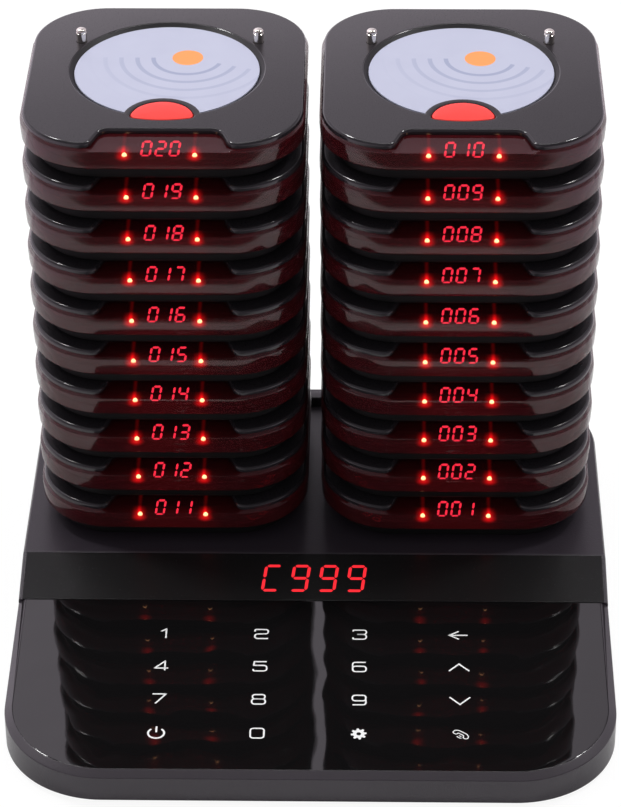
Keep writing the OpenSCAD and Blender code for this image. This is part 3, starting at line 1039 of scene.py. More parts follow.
def ribbon(path: Sequence[Place], width: float, closed: bool = False) -> list[Loop]:
    """Thickens a path in plan into quads.

    Args:
        path: the stroke's middle line.
        width: the stroke's width.
        closed: whether the end joins the start.

    Returns:
        One four-point outline for each stretch.
    """
    line = np.array(path, float)
    before, after = np.roll(line, 1, axis=0), np.roll(line, -1, axis=0)
    if not closed:
        before[0], after[-1] = 2 * line[0] - line[1], 2 * line[-1] - line[-2]
    into = line - before
    out = after - line
    into /= np.linalg.norm(into, axis=1, keepdims=True)
    out /= np.linalg.norm(out, axis=1, keepdims=True)
    normal = np.stack([-(into + out)[:, 1], (into + out)[:, 0]], axis=1)
    normal /= np.maximum(0.5 * (normal * normal).sum(axis=1, keepdims=True), SHARPEST_TURN)
    left, right = line + normal * width / 2, line - normal * width / 2
    last = len(line) if closed else len(line) - 1
    return [
        np.array([right[i], right[(i + 1) % len(line)], left[(i + 1) % len(line)], left[i]])
        for i in range(last)
    ]


def rounded_path(corners: Sequence[Place], radius: float, closed: bool = False) -> list[Pair]:
    """A path through some corners, each rounded off.

    Args:
        corners: the path's corner points.
        radius: how far from a corner its turn starts.
        closed: whether the path closes.

    Returns:
        The path's points.
    """
    n = len(corners)
    points: list[Pair] = []
    for i, corner in enumerate(corners):
        if not closed and i in (0, n - 1):
            points.append(tuple(corner))
            continue
        before, after = corners[i - 1], corners[(i + 1) % n]
        shorter = min(math.dist(before, corner), math.dist(corner, after))
        reach = min(radius, SHORT_OF_HALF * shorter)
        points += bend(toward(corner, before, reach), corner, toward(corner, after, reach), steps=5)
    return points


# The printed digits' strokes in a box of one by one, and whether each stroke closes.
DIGIT_STROKES: dict[str, list[tuple[list[Pair], bool]]] = {
    "0": [([(0, 0), (1, 0), (1, 1), (0, 1)], True)],
    "1": [([(0.28, 0.72), (0.66, 1), (0.66, 0)], False)],
    "2": [([(0, 0.76), (0, 1), (1, 1), (1, 0.52), (0, 0.5), (0, 0), (1, 0)], False)],
    "3": [([(0, 0.84), (0.02, 1), (1, 1), (1, 0.53), (0.3, 0.53)], False),
          ([(0.3, 0.53), (1, 0.53), (1, 0), (0, 0), (0, 0.2)], False)],
    "4": [([(0.76, 0), (0.76, 1), (0, 0.24), (1.02, 0.24)], False)],
    "5": [([(0.98, 1), (0.06, 1), (0.02, 0.6), (0.4, 0.6)], False),
          ([(0.3, 0.6), (1, 0.6), (1, 0), (0, 0), (0, 0.2)], False)],
    "6": [([(0.98, 1), (0, 1), (0, 0.5)], False),
          ([(0, 0), (1, 0), (1, 0.58), (0, 0.58)], True)],
    "7": [([(0, 1), (1, 1), (0.26, 0)], False)],
    "8": [([(0.04, 0.54), (0.96, 0.54), (0.96, 1), (0.04, 1)], True),
          ([(0, 0), (1, 0), (1, 0.54), (0, 0.54)], True)],
    "9": [([(0.02, 0), (1, 0), (1, 0.5)], False),
          ([(0, 0.42), (1, 0.42), (1, 1), (0, 1)], True)],
}

# The lit bars: a is the top one, b to f follow clockwise, and g is the middle one.
SEGMENTS_OF: dict[str, str] = {
    "0": "abcdef", "1": "bc", "2": "abged", "3": "abgcd", "4": "fgbc", "5": "afgcd",
    "6": "afgedc", "7": "abc", "8": "abcdefg", "9": "abcdfg", "C": "adef",
}


def segment_digit(sign: str, width: float, height: float, bar: float, slant: float) -> list[Loop]:
    """The lit bars of a seven-segment digit, centred on its own middle.

    Args:
        sign: the character to show.
        width: from the middle of the left bars to the middle of the right ones.
        height: from the middle of the lowest bar to the middle of the top one.
        bar: the bars' thickness.
        slant: sideways lean for each unit of height.

    Returns:
        One outline for each lit bar.
    """
    w, h, gap, t = width / 2, height / 2, BAR_GAP * bar, bar / 2
    flat = [(-w + gap, 0), (-w + gap + t, t), (w - gap - t, t), (w - gap, 0),
            (w - gap - t, -t), (-w + gap + t, -t)]
    tall = [(0, gap), (t, gap + t), (t, h - gap - t), (0, h - gap), (-t, h - gap - t),
            (-t, gap + t)]
    bars = {
        "a": [(x, y + h) for x, y in flat], "g": flat, "d": [(x, y - h) for x, y in flat],
        "b": [(x + w, y) for x, y in tall], "c": [(x + w, y - h) for x, y in tall],
        "f": [(x - w, y) for x, y in tall], "e": [(x - w, y - h) for x, y in tall],
    }
    lit = []
    for name in SEGMENTS_OF[sign]:
        outline = np.array(bars[name], float)
        outline[:, 0] += slant * outline[:, 1]
        lit.append(outline[::-1] if area(outline) < 0 else outline)
    return lit


def area(loop: Loop) -> float:
    """The area of an outline, which is negative when it runs clockwise."""
    x, y = loop[:, 0], loop[:, 1]
    return 0.5 * float(np.dot(x, np.roll(y, -1)) - np.dot(y, np.roll(x, -1)))


def tiles(outlines: Iterable[Loop], thickness: float) -> Shell:
    """Raises flat outlines into thin closed tiles on the plane z = 0.

    Args:
        outlines: the tiles' outlines.
        thickness: how high they rise.

    Returns:
        The tiles' shell.
    """
    shell = Shell()
    for outline in outlines:
        low, high = shell.ring(outline, 0), shell.ring(outline, thickness)
        shell.wall(low, high)
        shell.faces += [tuple(high), tuple(reversed(low))]
    return shell


# ------------ rows of equal pieces


def row_tree(name: str) -> NodeTree:
    """Builds a tree that repeats a template along a line.

    Args:
        name: the tree's name.

    Returns:
        The tree, with inputs for the template, count, start, step and finish.
    """
    tree = bpy.data.node_groups.new(name, "GeometryNodeTree")
    for label, kind in (
        ("Template", "NodeSocketObject"), ("Count", "NodeSocketInt"),
        ("Start", "NodeSocketVector"), ("Step", "NodeSocketVector"),
        ("Finish", "NodeSocketMaterial"),
    ):
        tree.interface.new_socket(label, in_out="INPUT", socket_type=kind)
    tree.interface.new_socket("Geometry", in_out="OUTPUT", socket_type="NodeSocketGeometry")
    given = add_node(tree, "NodeGroupInput").outputs
    line = add_node(
        tree, "GeometryNodeMeshLine",
        {"Count": given["Count"], "Start Location": given["Start"], "Offset": given["Step"]},
    )
    template = add_node(tree, "GeometryNodeObjectInfo", {"Object": given["Template"]})
    copies = add_node(
        tree, "GeometryNodeInstanceOnPoints",
        {"Points": line.outputs["Mesh"], "Instance": template.outputs["Geometry"]},
    )
    real = add_node(tree, "GeometryNodeRealizeInstances", {"Geometry": copies.outputs["Instances"]})
    painted = add_node(
        tree, "GeometryNodeSetMaterial", {"Geometry": real.outputs["Geometry"], "Material": given["Finish"]}
    )
    add_node(tree, "NodeGroupOutput", {"Geometry": painted.outputs["Geometry"]})
    return tree


def repeated(template: Mesh, count: int, start: Place, step: Place, finish: Material) -> Mesh:
    """Repeats a mesh in metres along a line.

    Args:
        template: the mesh to repeat.
        count: how many.
        start: the first one's place, in millimetres.
        step: from each one to the next, in millimetres.
        finish: the material of them all.

    Returns:
        One plain mesh that holds them all.
    """
    tree = bpy.data.node_groups.get("row of pieces") or row_tree("row of pieces")
    source = add_object("template", template)
    carrier = add_object("carrier", bpy.data.meshes.new("carrier"))
    modifier = carrier.modifiers.new("row", "NODES")
    modifier.node_group = tree
    values = {
        "Template": source, "Count": count, "Start": tuple(MM * v for v in start),
        "Step": tuple(MM * v for v in step), "Finish": finish,
    }
    for item in tree.interface.items_tree:
        if item.in_out == "INPUT":
            modifier[item.identifier] = values[item.name]
    bpy.context.view_layer.update()
    graph = bpy.context.evaluated_depsgraph_get()
    result = bpy.data.meshes.new_from_object(
        carrier.evaluated_get(graph), preserve_all_data_layers=True, depsgraph=graph
    )
    bpy.data.objects.remove(carrier)
    bpy.data.objects.remove(source)
    for polygon in result.polygons:
        polygon.use_smooth = True
    result.set_sharp_from_angle(angle=SHARP_ANGLE)
    return result


# ------------ the pager


@dataclass
class Pager:
    """The pieces of one coaster pager, made once and placed twenty times."""

    width: float = 94.0
    depth: float = 96.5
    height: float = 16.0
    radius: float = 25.0
    cover_inset: float = 0.8
    cover_t: float = 1.8
    cover_round: float = 1.0
    band_top: float = 14.15
    band_z: float = 6.7
    band_wall: float = 3.0
    band_taper: float = 0.5
    window_fall: float = 0.8
    window_run: float = 10.8
    window_half: float = 23.9
    window_fade: float = 1.6
    window_t: float = 1.3
    notch_back: float = 19.4
    notch_y: float = -37.45
    notch_front: float = 22.9
    notch_turn: float = 3.0
    notch_ease: float = 3.2
    label_r: float = 31.0
    label_y: float = 3.45
    label_z: float = 14.6
    label_t: float = 0.5
    recess_slope: float = 1.6
    button_r: float = 10.4
    button_y: float = -29.75
    button_front: float = 34.8
    button_top: float = 16.4
    button_foot: float = 12.15
    button_flange: float = 0.9
    flange_t: float = 0.8
    button_side: float = 0.75
    button_dome: float = 0.3
    button_edge: float = 0.45
    corner_ease: float = 1.9
    surround_w: float = 2.2
    slip: float = 0.3
    pin_x: float = 30.0
    pin_y: float = 22.55
    pin_r: float = 1.75
    pin_top: float = 21.0
    pin_foot: float = 5.3
    pin_neck: float = 0.22
    pin_head: float = 1.0
    bottom_inset: float = 5.5
    tub_lip: float = 2.3
    tub_lip_t: float = 1.15
    board_z: float = 7.95
    board_t: float = 1.0
    board_gap: float = 0.3
    block_x: Pair = (-8.0, 8.9)
    block_y: Pair = (-43.6, -36.4)
    block_top: float = 12.6
    block_slope: float = 6.6
    digit_step: float = 4.6
    digit_shift: float = 0.5
    digit_tilt: float = 30.3
    digit_at: tuple[float, float, float] = (-0.3, -40.9, 10.5)
    lamp_x: float = 11.4
    lamp_y: float = -44.3
    lamp_r: float = 0.85
    lamp_foot: float = 0.75
    lamp_rise: float = 1.25

    def cover_outline(self) -> Loop:
        """The top cover's outline, with the window notch at the front.

        Returns:
            The outline, anticlockwise.
        """
        half_w = self.width / 2 - self.cover_inset
        half_d = self.depth / 2 - self.cover_inset
        r = self.radius - self.cover_inset
        cx, cy = half_w - r, half_d - r
        reach, turn = self.notch_ease, self.notch_turn
        back = (self.notch_back, self.notch_y)
        join_y = -cy - math.sqrt(r * r - (self.notch_front - cx) ** 2)
        join = (self.notch_front, join_y)
        start = math.asin((self.notch_front + reach - cx) / r) - math.pi / 2
        on_arc = (cx + r * math.cos(start), -cy + r * math.sin(start))
        before = (self.notch_back - turn, self.notch_y)
        right = bend(before, back, toward(back, join, turn), steps=7)
        right += bend(toward(join, back, reach), join, on_arc, steps=8)
        right += arc((cx, -cy), r, start, 0, steps=22)[1:]
        right += arc((cx, cy), r, 0, math.pi / 2, steps=22)
        left = [(-x, y) for x, y in reversed(right)]
        return np.array(right + left)

    def disc_outline(self, r_disc: float, r_bite: float) -> Loop:
        """The label's outline: a disc with a bite for the button's surround.

        Args:
            r_disc: the disc's radius.
            r_bite: the bite's radius.

        Returns:
            The outline, anticlockwise.
        """
        apart = self.label_y - self.button_y
        down = (r_disc ** 2 - r_bite ** 2 + apart ** 2) / (2 * apart)
        half = math.sqrt(r_disc ** 2 - down ** 2)
        turn = math.atan2(-down, half)
        big = arc((0, self.label_y), r_disc, turn, math.pi - turn, steps=90)
        bite_turn = math.atan2(apart - down, half)
        small = arc((0, self.button_y), r_bite, math.pi - bite_turn, bite_turn, steps=24)
        return np.array(big + small[1:-1])

    def button_outline(self, grow: float) -> Loop:
        """The button's half-moon outline with soft corners, grown by a clearance.

        Args:
            grow: the clearance.

        Returns:
            The outline, anticlockwise.
        """
        r, front = self.button_r + grow, self.button_front + grow
        apart = self.label_y - self.button_y
        down = (front ** 2 - r ** 2 + apart ** 2) / (2 * apart)
        half = math.sqrt(front ** 2 - down ** 2)
        side, ease = (half, self.label_y - down), self.corner_ease
        turn = math.atan2(side[1] - self.button_y, half)
        upper = arc((0, self.button_y), r, turn + ease / r, math.pi - turn - ease / r, steps=26)
        low_turn = math.atan2(-down, half)
        lower = arc(
            (0, self.label_y), front, -math.pi - low_turn + ease / front, low_turn - ease / front, steps=18
        )
        mirrored = (-side[0], side[1])
        points = upper + bend(upper[-1], mirrored, lower[0], steps=7)[1:-1]
        points += lower + bend(lower[-1], side, upper[0], steps=7)[1:-1]
        return np.array(points)

    def window_z(self, y: float) -> float:
        """Height of the sloping window's face at a given Y."""
        share = (self.notch_y - y) / self.window_run
        return self.band_top - self.window_fall * share

    def cover(self, shell_finish: Material, gloss: Material, matt: Material) -> Mesh:
        """The moulded top cover: rolled edge, notch, dished recess and surround.

        Args:
            shell_finish: the satin finish.
            gloss: the finish of the button's surround.
            matt: the finish of the recess, painted darker for the shade in it.

        Returns:
            The mesh.
        """
        shell = Shell()
        outline = self.cover_outline()
        top, foot = self.height, self.height - self.cover_t + HAIR_MM
        rim = [shell.ring(inset(outline, i), top - d) for i, d in quarter(self.cover_round, steps=6)]
        rim.append(shell.ring(outline, foot))
        rim.append(shell.ring(inset(outline, self.cover_round), foot))
        shell.stack(rim)
        r_top, bite = self.label_r + 0.1 + self.recess_slope, self.surround_r
        drop = self.height - self.label_z
        # Each ring's step out from the slope's top and from the surround, and its depth.
        recess = [
            shell.ring(self.disc_outline(r_top + a, bite + b)[::-1], top - d)
            for a, b, d in (
                (0.5, -0.35, 0), (0.25, -0.12, 0.05), (0.05, 0, 0.2),
                (-self.recess_slope + 0.25, 0.08, drop - 0.1),
                (-self.recess_slope, 0.16, drop),
            )
        ]
        shell.stack(recess)
        shell.cap([recess[-1]])
        # Each ring's step out from the button's opening, and its depth: a rounded edge.
        opening = [
            shell.ring(self.button_outline(self.slip + g)[::-1], top - d)
            for g, d in ((0.35, 0), (0.15, 0.05), (0.0, 0.22), (0.0, self.cover_t - HAIR_MM))
        ]
        shell.stack(opening)
        pins = []
        for side in (-1, 1):
            centre = (side * self.pin_x, self.pin_y)
            hole = [
                shell.ring(circle(centre, self.pin_r + gap, way=-1), z)
                for gap, z in ((0.15, top), (0.06, top - 0.1), (0.06, foot))
            ]
            shell.stack(hole)
            pins.append(hole)
        shell.cap([rim[0], recess[0], opening[0], pins[0][0], pins[1][0]])
        shell.cap([rim[-1], opening[-1], pins[0][-1], pins[1][-1]])

        margin, gloss_r, gloss_front = 0.1, self.surround_r + 0.05, self.button_y - 1.2

        def pick(middle: Vector, _: Vector) -> int:
            """Tells the surround's gloss and the recess's slope from the satin top.

            Args:
                middle: the face's middle.

            Returns:
                The finish's number.
            """
            near = math.dist(middle[:2], (0, self.button_y)) < gloss_r
            if near and middle.y > gloss_front and middle.z > foot + margin:
                return 1
            dished = math.dist(middle[:2], (0, self.label_y)) < r_top
            return 2 if dished and top - margin > middle.z > foot + margin else 0

        return even_shading(shell.mesh("cover", [shell_finish, gloss, matt], pick))

    @property
    def surround_r(self) -> float:
        """Radius of the button's black surround."""
        return self.button_r + self.slip + self.surround_w

    @property
    def on_board(self) -> float:
        """Height at which the parts on the circuit board stand."""
        return self.board_z + self.board_t + HAIR_MM

    def band(self, finish: Material) -> Mesh:
        """The tinted band all round, with the sloping window that fills the notch.

        Args:
            finish: the tinted plastic.

        Returns:
            The mesh.
        """
        outline = rounded_rect(self.width, self.depth, self.radius, steps=22)
        # Points across the front carry the window's slope: every 2 mm, and at its sides.
        front_x = [float(x) for x in range(-20, 21, 2)] + [-22.8, 22.8, -24.4, 24.4]
        outline = split_at(outline, 0, front_x, gate=0.0)
        share_in = (self.window_half - np.abs(outline[:, 0])) / self.window_fade
        in_notch = np.clip(share_in, 0, 1) * (outline[:, 1] < 0)
        shell = Shell()
        plate = self.window_t

        def ring(step: float, z: float, deep: bool = False, below: float = 0) -> list[int]:
            """One ring of the band, lowered to the window's slope where it passes it.

            Args:
                step: how far in from the outline.
                z: the ring's height.
                deep: whether it follows the notch's back.
                below: depth under the window's face.

            Returns:
                The ring's point numbers.
            """
            points = inset(outline, step)
            if deep:
                points[:, 1] += in_notch * (self.notch_y + 1 - points[:, 1])
            numbers = shell.ring(points, z)
            for number, share in zip(numbers, in_notch):
                x, y, _ = shell.points[number]
                slope = self.window_z(y) - below
                low = min(z, slope) if step < self.band_wall else slope
                shell.points[number] = (x, y, z + share * (low - z))
            return numbers

        wall, top, bottom = self.band_wall, self.band_top, self.band_z
        rings = [ring(wall, top, deep=True), ring(wall, top), ring(self.cover_inset, top)]
        # The rounded shoulder, and under it the tapering wall with its rounded foot.
        shoulder = ((0.28, 0.45), (0.06, 0.75), (0, 1.1))
        rings += [ring(step, top - drop) for step, drop in shoulder]
        side = ((0, top - 3.2), (self.band_taper - 0.25, bottom + 0.75),
                (self.band_taper, bottom + 0.35), (self.band_taper + 0.4, bottom),
                (wall, bottom))
        rings += [shell.ring(inset(outline, i), z) for i, z in side]
        rings += [ring(wall, top - plate, deep, plate) for deep in (False, True)]
        shell.stack(rings + [rings[0]])
        return even_shading(shell.mesh("band", [finish]))

    def tray(self, finish: Material) -> Mesh:
        """The bottom cover: an inset tub with a foot rim and two pin sockets.

        Args:
            finish: the black plastic.

        Returns:
            The mesh.
        """
        shell = Shell()
        tub = rounded_rect(
            self.width - 2 * self.bottom_inset, self.depth - 2 * self.bottom_inset,
            self.radius - self.bottom_inset, steps=18,
        )
        # Inset and height round the foot rim, up the side and out under the band.
        outer = [(2.8, 1.0), (2.8, 0.25), (2.55, 0.0), (1.45, 0.0), (1.2, 0.25),
                 (1.2, 0.9), (0.4, 1.0), (0.0, 1.4), (0.0, self.band_z),
                 (-self.tub_lip, self.band_z),
                 (-self.tub_lip, self.band_z + self.tub_lip_t)]
        rings = [shell.ring(inset(tub, i), z) for i, z in outer]
        shell.stack(rings)
        holes = []
        for side in (-1, 1):
            centre = (side * self.pin_x, self.pin_y)
            hole = [
                shell.ring(circle(centre, r), z)
                for r, z in ((2.35, 1.0), (2.05, 1.3), (2.05, 5.2), (0.3, 5.25))
            ]
            shell.stack(hole)
            shell.faces.append(tuple(hole[-1]))
            holes.append(hole[0])
        shell.cap([rings[0], *holes])
        shell.cap([rings[-1]])
        return even_shading(shell.mesh("tray", [finish]))

    def disc(self, finish: Material) -> Mesh:
        """The printed label disc in the recess, with a soft edge.

        Args:
            finish: the printed vinyl.

        Returns:
            The mesh.
        """
        shell = Shell()
        low = self.label_z + 0.05
        top = low + self.label_t
        r, bite = self.label_r, self.surround_r + 0.2
        rings = [
            shell.ring(self.disc_outline(r - i, bite + i), z)
            for i, z in ((0, low), (0, top - 0.12), (0.05, top - 0.03), (0.16, top))
        ]
        shell.close(rings)
        return even_shading(shell.mesh("disc", [finish]))

    def pin_profile(self) -> list[Pair]:
        """Side view of a charging pin: shaft, groove and rounded head.

        Returns:
            Radius and height of each corner.
        """
        r, top, foot, neck = self.pin_r, self.pin_top, self.pin_foot, self.pin_r - self.pin_neck
        low = top - self.pin_head
        head = [(r * math.cos(a), low + self.pin_head * math.sin(a))
                for a in np.linspace(0, math.pi / 2, 7)]
        return [
            (0, foot), (r, foot), (r, top - 1.75), (neck, top - 1.6), (neck, top - 1.3),
            (r, top - 1.15), *head[:-1], (0, top),
        ]

    def pins(self, finish: Material) -> Mesh:
        """Both charging pins, from one turned shape.

        Args:
            finish: the plated metal.

        Returns:
            The mesh.
        """
        shell = Shell()
        shell.revolve(self.pin_profile(), (0, 0), steps=28)
        left, apart = (-self.pin_x, self.pin_y, 0), (2 * self.pin_x, 0, 0)
        return repeated(shell.mesh("pin", [finish]), 2, left, apart, finish)

    def board(self, finish: Material, block: Material) -> Mesh:
        """The circuit board with the black block that holds the digits.

        Args:
            finish: the board's finish.
            block: the block's finish.

        Returns:
            The mesh.
        """
        shell = Shell()
        edge = self.band_wall + self.board_gap
        outline = rounded_rect(self.width - 2 * edge, self.depth - 2 * edge, self.radius - edge, steps=12)
        shell.close([shell.ring(outline, z) for z in (self.board_z, self.board_z + self.board_t)])
        (front, back), low, top = self.block_y, self.on_board, self.block_top
        side = [(front, low), (back, low), (back, top), (front + self.block_slope, top),
                (front, low + 0.1)]
        ends = []
        for x in self.block_x:
            first = len(shell.points)
            shell.points += [(x, y, z) for y, z in side]
            ends.append(list(range(first, len(shell.points))))
            shell.faces.append(tuple(ends[-1]))
        shell.wall(*ends)

        def pick(middle: Vector, _: Vector) -> int:
            """The block is black and the board green."""
            return 1 if middle.z > self.on_board - HAIR_MM / 2 else 0

        return shell.mesh("board", [finish, block], pick)

    def digits(self, number: int, finish: Material) -> Mesh:
        """The three lit digits on the block's sloping face.

        Args:
            number: what they show.
            finish: the lit finish.

        Returns:
            The mesh.
        """
        outlines = []
        for k, sign in enumerate(f"{number:03d}"):
            across = (k - 1) * self.digit_step + self.digit_shift
            for bar in segment_digit(sign, width=2.75, height=5.3, bar=0.75, slant=0.13):
                outlines.append(bar + np.array([across, 0]))
        mesh = tiles(outlines, thickness=0.12).mesh("digits", [])
        tilt = Matrix.Rotation(math.radians(self.digit_tilt), 4, "X")
        middle = Matrix.Translation(Vector(self.digit_at) * MM)
        mesh.transform(middle @ tilt)
        mesh.materials.append(finish)
        return mesh

    def lamps(self, finish: Material) -> Mesh:
        """The two lamps behind the band's front.

        Args:
            finish: the lit finish.

        Returns:
            The mesh.
        """
        shell = Shell()
        low = self.on_board
        r, foot, rise = self.lamp_r, self.lamp_foot, self.lamp_rise
        dome = [(r * math.cos(a), low + foot + rise * math.sin(a))
                for a in np.linspace(0, math.pi / 2, 6)]
        profile = [(0, low), (r, low), *dome[:-1], (0, low + foot + rise)]
        shell.revolve(profile, (0, 0), steps=16)
        left, apart = (-self.lamp_x, self.lamp_y, 0), (2 * self.lamp_x, 0, 0)
        return repeated(shell.mesh("lamp", [finish]), 2, left, apart, finish)

    def button(self, finish: Material) -> Mesh:
        """The domed push button with a soft edge.

        Args:
            finish: the red plastic.

        Returns:
            The mesh.
        """
        shell = Shell()
        outline = self.button_outline(0.0)
        top, dome, edge = self.button_top, self.button_dome, self.button_edge
        middle = np.array([0.0, self.label_y - self.button_front + 6.0])
        flange = self.button_outline(self.button_flange)
        flange_top = self.button_foot + self.flange_t
        rings = [shell.ring(flange, z) for z in (self.button_foot, flange_top)]
        rings += [shell.ring(outline, z) for z in (flange_top, top - self.button_side)]
        for step, drop in ((0.05, 0.55), (0.2, 0.38), (edge, dome)):
            rings.append(shell.ring(inset(outline, step), top - drop))
        inner = inset(outline, edge)
        for share in (0.85, 0.65, 0.4, 0.2):
            plan = middle + (inner - middle) * share
            rings.append(shell.ring(plan, top - dome * share ** 2))
        shell.stack(rings)
        shell.cap([rings[0]])
        shell.points.append((middle[0], middle[1], top))
        last, tip = rings[-1], len(shell.points) - 1
        for i in range(len(last)):
            shell.faces.append((last[i], last[(i + 1) % len(last)], tip))
        return shell.mesh("button", [finish])


@dataclass
class PagerStacks:
    """The two stacks: places the pager's pieces and ties each to its own body."""

    stack_x: float = 49.2
    stack_y: float = 54.75
    deck_z: float = 23.0
    step: float = 16.0
    count: int = 10

    def build(self) -> None:
        """Makes the pieces once and places them for every pager."""
        pager = Pager()
        finishes = {f: f.material() for f in (
            SHELL, SURROUND, RECESS, TRAY, BUTTON, BAND, DISC, NICKEL, BOARD, MODULE, DIGITS, LAMP
        )}
        meshes = {
            "cover": (pager.cover(finishes[SHELL], finishes[SURROUND], finishes[RECESS]),
                      "pager_shell", "top_cover"),
            "band": (pager.band(finishes[BAND]), "red_band", "window_band"),
            "tray": (pager.tray(finishes[TRAY]), "bottom_cover", "bottom_cover"),
            "disc": (pager.disc(finishes[DISC]), "label", "label_disc"),
            "pins": (pager.pins(finishes[NICKEL]), "charging_pins", "charging_pins"),
            "board": (pager.board(finishes[BOARD], finishes[MODULE]), "pcb", "electronics"),
            "lamps": (pager.lamps(finishes[LAMP]), "display", "electronics"),
        }
        button = pager.button(finishes[BUTTON])
        for n in range(1, 2 * self.count + 1):
            name = f"pager_{n:03d}"
            at = self.place_of(n)
            whole = n % self.count != 0
            own = dict(meshes)
            own["digits"] = (pager.digits(n, finishes[DIGITS]), "display", "electronics")
            for part, (mesh, slot, node) in own.items():
                piece = place(mesh, f"{name}_{part}_dressed", at)
                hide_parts(name if whole else f"{name}_{node}")
                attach(piece, name)
            cap = place(button, f"{name}_button_dressed", at)
            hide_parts(f"{name}_button")
            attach(cap, f"{name}_button")
            log.info("%s placed at %s", name, at)

    def place_of(self, number: int) -> tuple[float, float, float]:
        """Where a pager stands: 1 to 10 up the right stack, then 11 to 20 up the left.

        Args:
            number: the pager's number.

        Returns:
            Its place in millimetres.
        """
        side = 1 if number <= self.count else -1
        level = (number - 1) % self.count
        return side * self.stack_x, self.stack_y, self.deck_z + level * self.step


# ------------ the base


@dataclass
class Base:
    """The charging base: its case, panel, window, digits and printed keys."""

    width: float = 202.6
    depth: float = 208.0
    radius: float = 34.0
    deck_z: float = 23.0
    foot_gap: float = 1.6
    foot_y: float = -18.4
    strip_y: float = 1.7
    foot_z: float = 17.7
    tilt: float = 3.3
    rim_w: float = 2.6
    rim_h: float = 1.5
    frame_w: float = 1.4
    deck_bevel: float = 0.8
    deck_frame: float = 1.0
    strip_bevel: Pair = (0.5, 0.4)
    edge_run: float = 0.6
    edge_drop: float = 0.24
    window_end: float = 0.3
    well: float = 1.7
    wall: float = 2.4
    foot_bevel: float = 0.4
    plate_t: float = 1.6
    play: float = 0.05
    digit_step: float = 9.7
    digit_at: Pair = (0.3, 9.8)
    block_size: Pair = (9, 4.4)
    block_r: float = 1.2
    block_y: float = 94.4
    block_h: float = 3.8
    block_round: float = 0.6
    ink_t: float = 0.03
    ink_gap: float = 0.01
    stroke: float = 0.55
    key_digit: Pair = (4.5, 4.6)
    key_x: tuple[float, ...] = (-50.2, -17.1, 16.2, 49.6)
    key_y: tuple[float, ...] = (-35.6, -51.8, -68.0, -84.2)

    @property
    def panel_slope(self) -> float:
        """The touch panel's slope in radians."""
        return math.radians(self.tilt)

    @property
    def slope(self) -> float:
        """The strip's slope in radians."""
        return math.atan2(self.deck_z - self.foot_z, self.strip_y - self.foot_y)

    def top_z(self, y: float) -> float:
        """Height of the case's top at a given Y.

        Args:
            y: the place.

        Returns:
            The height.
        """
        if y >= self.strip_y:
            return self.deck_z
        if y >= self.strip_y - self.play:
            return self.deck_z - self.edge_drop
        if y >= self.foot_y:
            return self.foot_z + (y - self.foot_y) * math.tan(self.slope)
        return self.foot_z + (y - self.foot_y) * math.tan(self.panel_slope)

    def tilted(self, angle: float) -> Matrix:
        """Moves a flat piece onto the plane that rises at an angle from the strip's foot."""
        hinge = Matrix.Translation(Vector((0, self.foot_y, self.foot_z)) * MM)
        return hinge @ Matrix.Rotation(angle, 4, "X")

    def case(self, finish: Material, rim_highlight: Material) -> Object:
        """The upper case: bevelled rim, sloping strip, deck and the wells in it.

        Args:
            finish: the satin finish.
            rim_highlight: the finish of the rim's bevel, paler to paint a highlight line along it.

        Returns:
            The object.
        """
        outline = rounded_rect(self.width, self.depth, self.radius, steps=28)
        near = 0.01
        cuts = (self.foot_y - near, self.foot_y + near, self.strip_y - near,
                self.strip_y + self.edge_run)
        outline = split_at(outline, 1, cuts)
        y = outline[:, 1]
        panel, deck = y < self.foot_y, y > self.strip_y
        strip_w, strip_h = self.strip_bevel
        bevel_w = np.where(panel, self.rim_w, np.where(deck, self.deck_bevel, strip_w))
        bevel_h = np.where(panel, self.rim_h, np.where(deck, self.deck_bevel, strip_h))
        frame_w = np.where(panel, self.rim_w + HAIR_MM, np.where(deck, self.deck_frame, self.frame_w))
        shell = Shell()

        def ring(step: float | np.ndarray, drop: float | np.ndarray) -> list[int]:
            """A ring that follows the case's top, dropped below it.

            Args:
                step: how far in from the outline.
                drop: how far down.

            Returns:
                The ring's point numbers.
            """
            points = inset(outline, step)
            numbers = shell.ring(points, 0.0)
            drops = np.broadcast_to(drop, len(points))
            for number, fall in zip(numbers, drops):
                px, py, _ = shell.points[number]
                shell.points[number] = (px, py, self.top_z(py) - float(fall))
            return numbers

        # Under the wall, up its outside, over the bevel's rounding and in to the frame.
        rings = [
            shell.ring(inset(outline, self.wall), self.foot_gap),
            shell.ring(inset(outline, self.foot_bevel), self.foot_gap),
            shell.ring(outline, self.foot_gap + self.foot_bevel),
            ring(0, bevel_h + 0.35), ring(0.1, bevel_h + 0.08),
            ring(0.3, bevel_h - 0.1), ring(bevel_w - 0.25, 0.12), ring(bevel_w, 0.0),
            ring(frame_w, 0.0),
        ]
        shell.stack(rings)
        shell.cap([rings[0]])
        top = rings[-1]
        back = [i for i in top if shell.points[i][1] > self.strip_y + self.edge_run / 2]
        front = [i for i in top if shell.points[i][1] < self.strip_y]
        shell.cap([self.ordered(shell, back)])
        floor = []
        for i in front:
            px, py, pz = shell.points[i]
            shell.points.append((px, py, pz - self.well))
            floor.append(len(shell.points) - 1)
        self.close_well(shell, front, floor, back)

        def pick(middle: Vector, normal: Vector) -> int:
            """Tells the bevels round the panel and the strip, and the deck's front edge, from the rest:
            they take the paler finish of the painted highlight.

            Args:
                middle: the face's middle.
                normal: the way it faces.

            Returns:
                The finish's number.
            """
            at_edge = self.strip_y - 0.1 < middle.y < self.strip_y + self.edge_run
            if at_edge and 0.5 < normal.z < 0.99:
                return 1
            return 1 if middle.y < self.strip_y and 0.5 < normal.z < 0.95 else 0

        mesh = even_shading(shell.mesh("case", [finish, rim_highlight], pick))
        return place(mesh, "base_case_dressed")

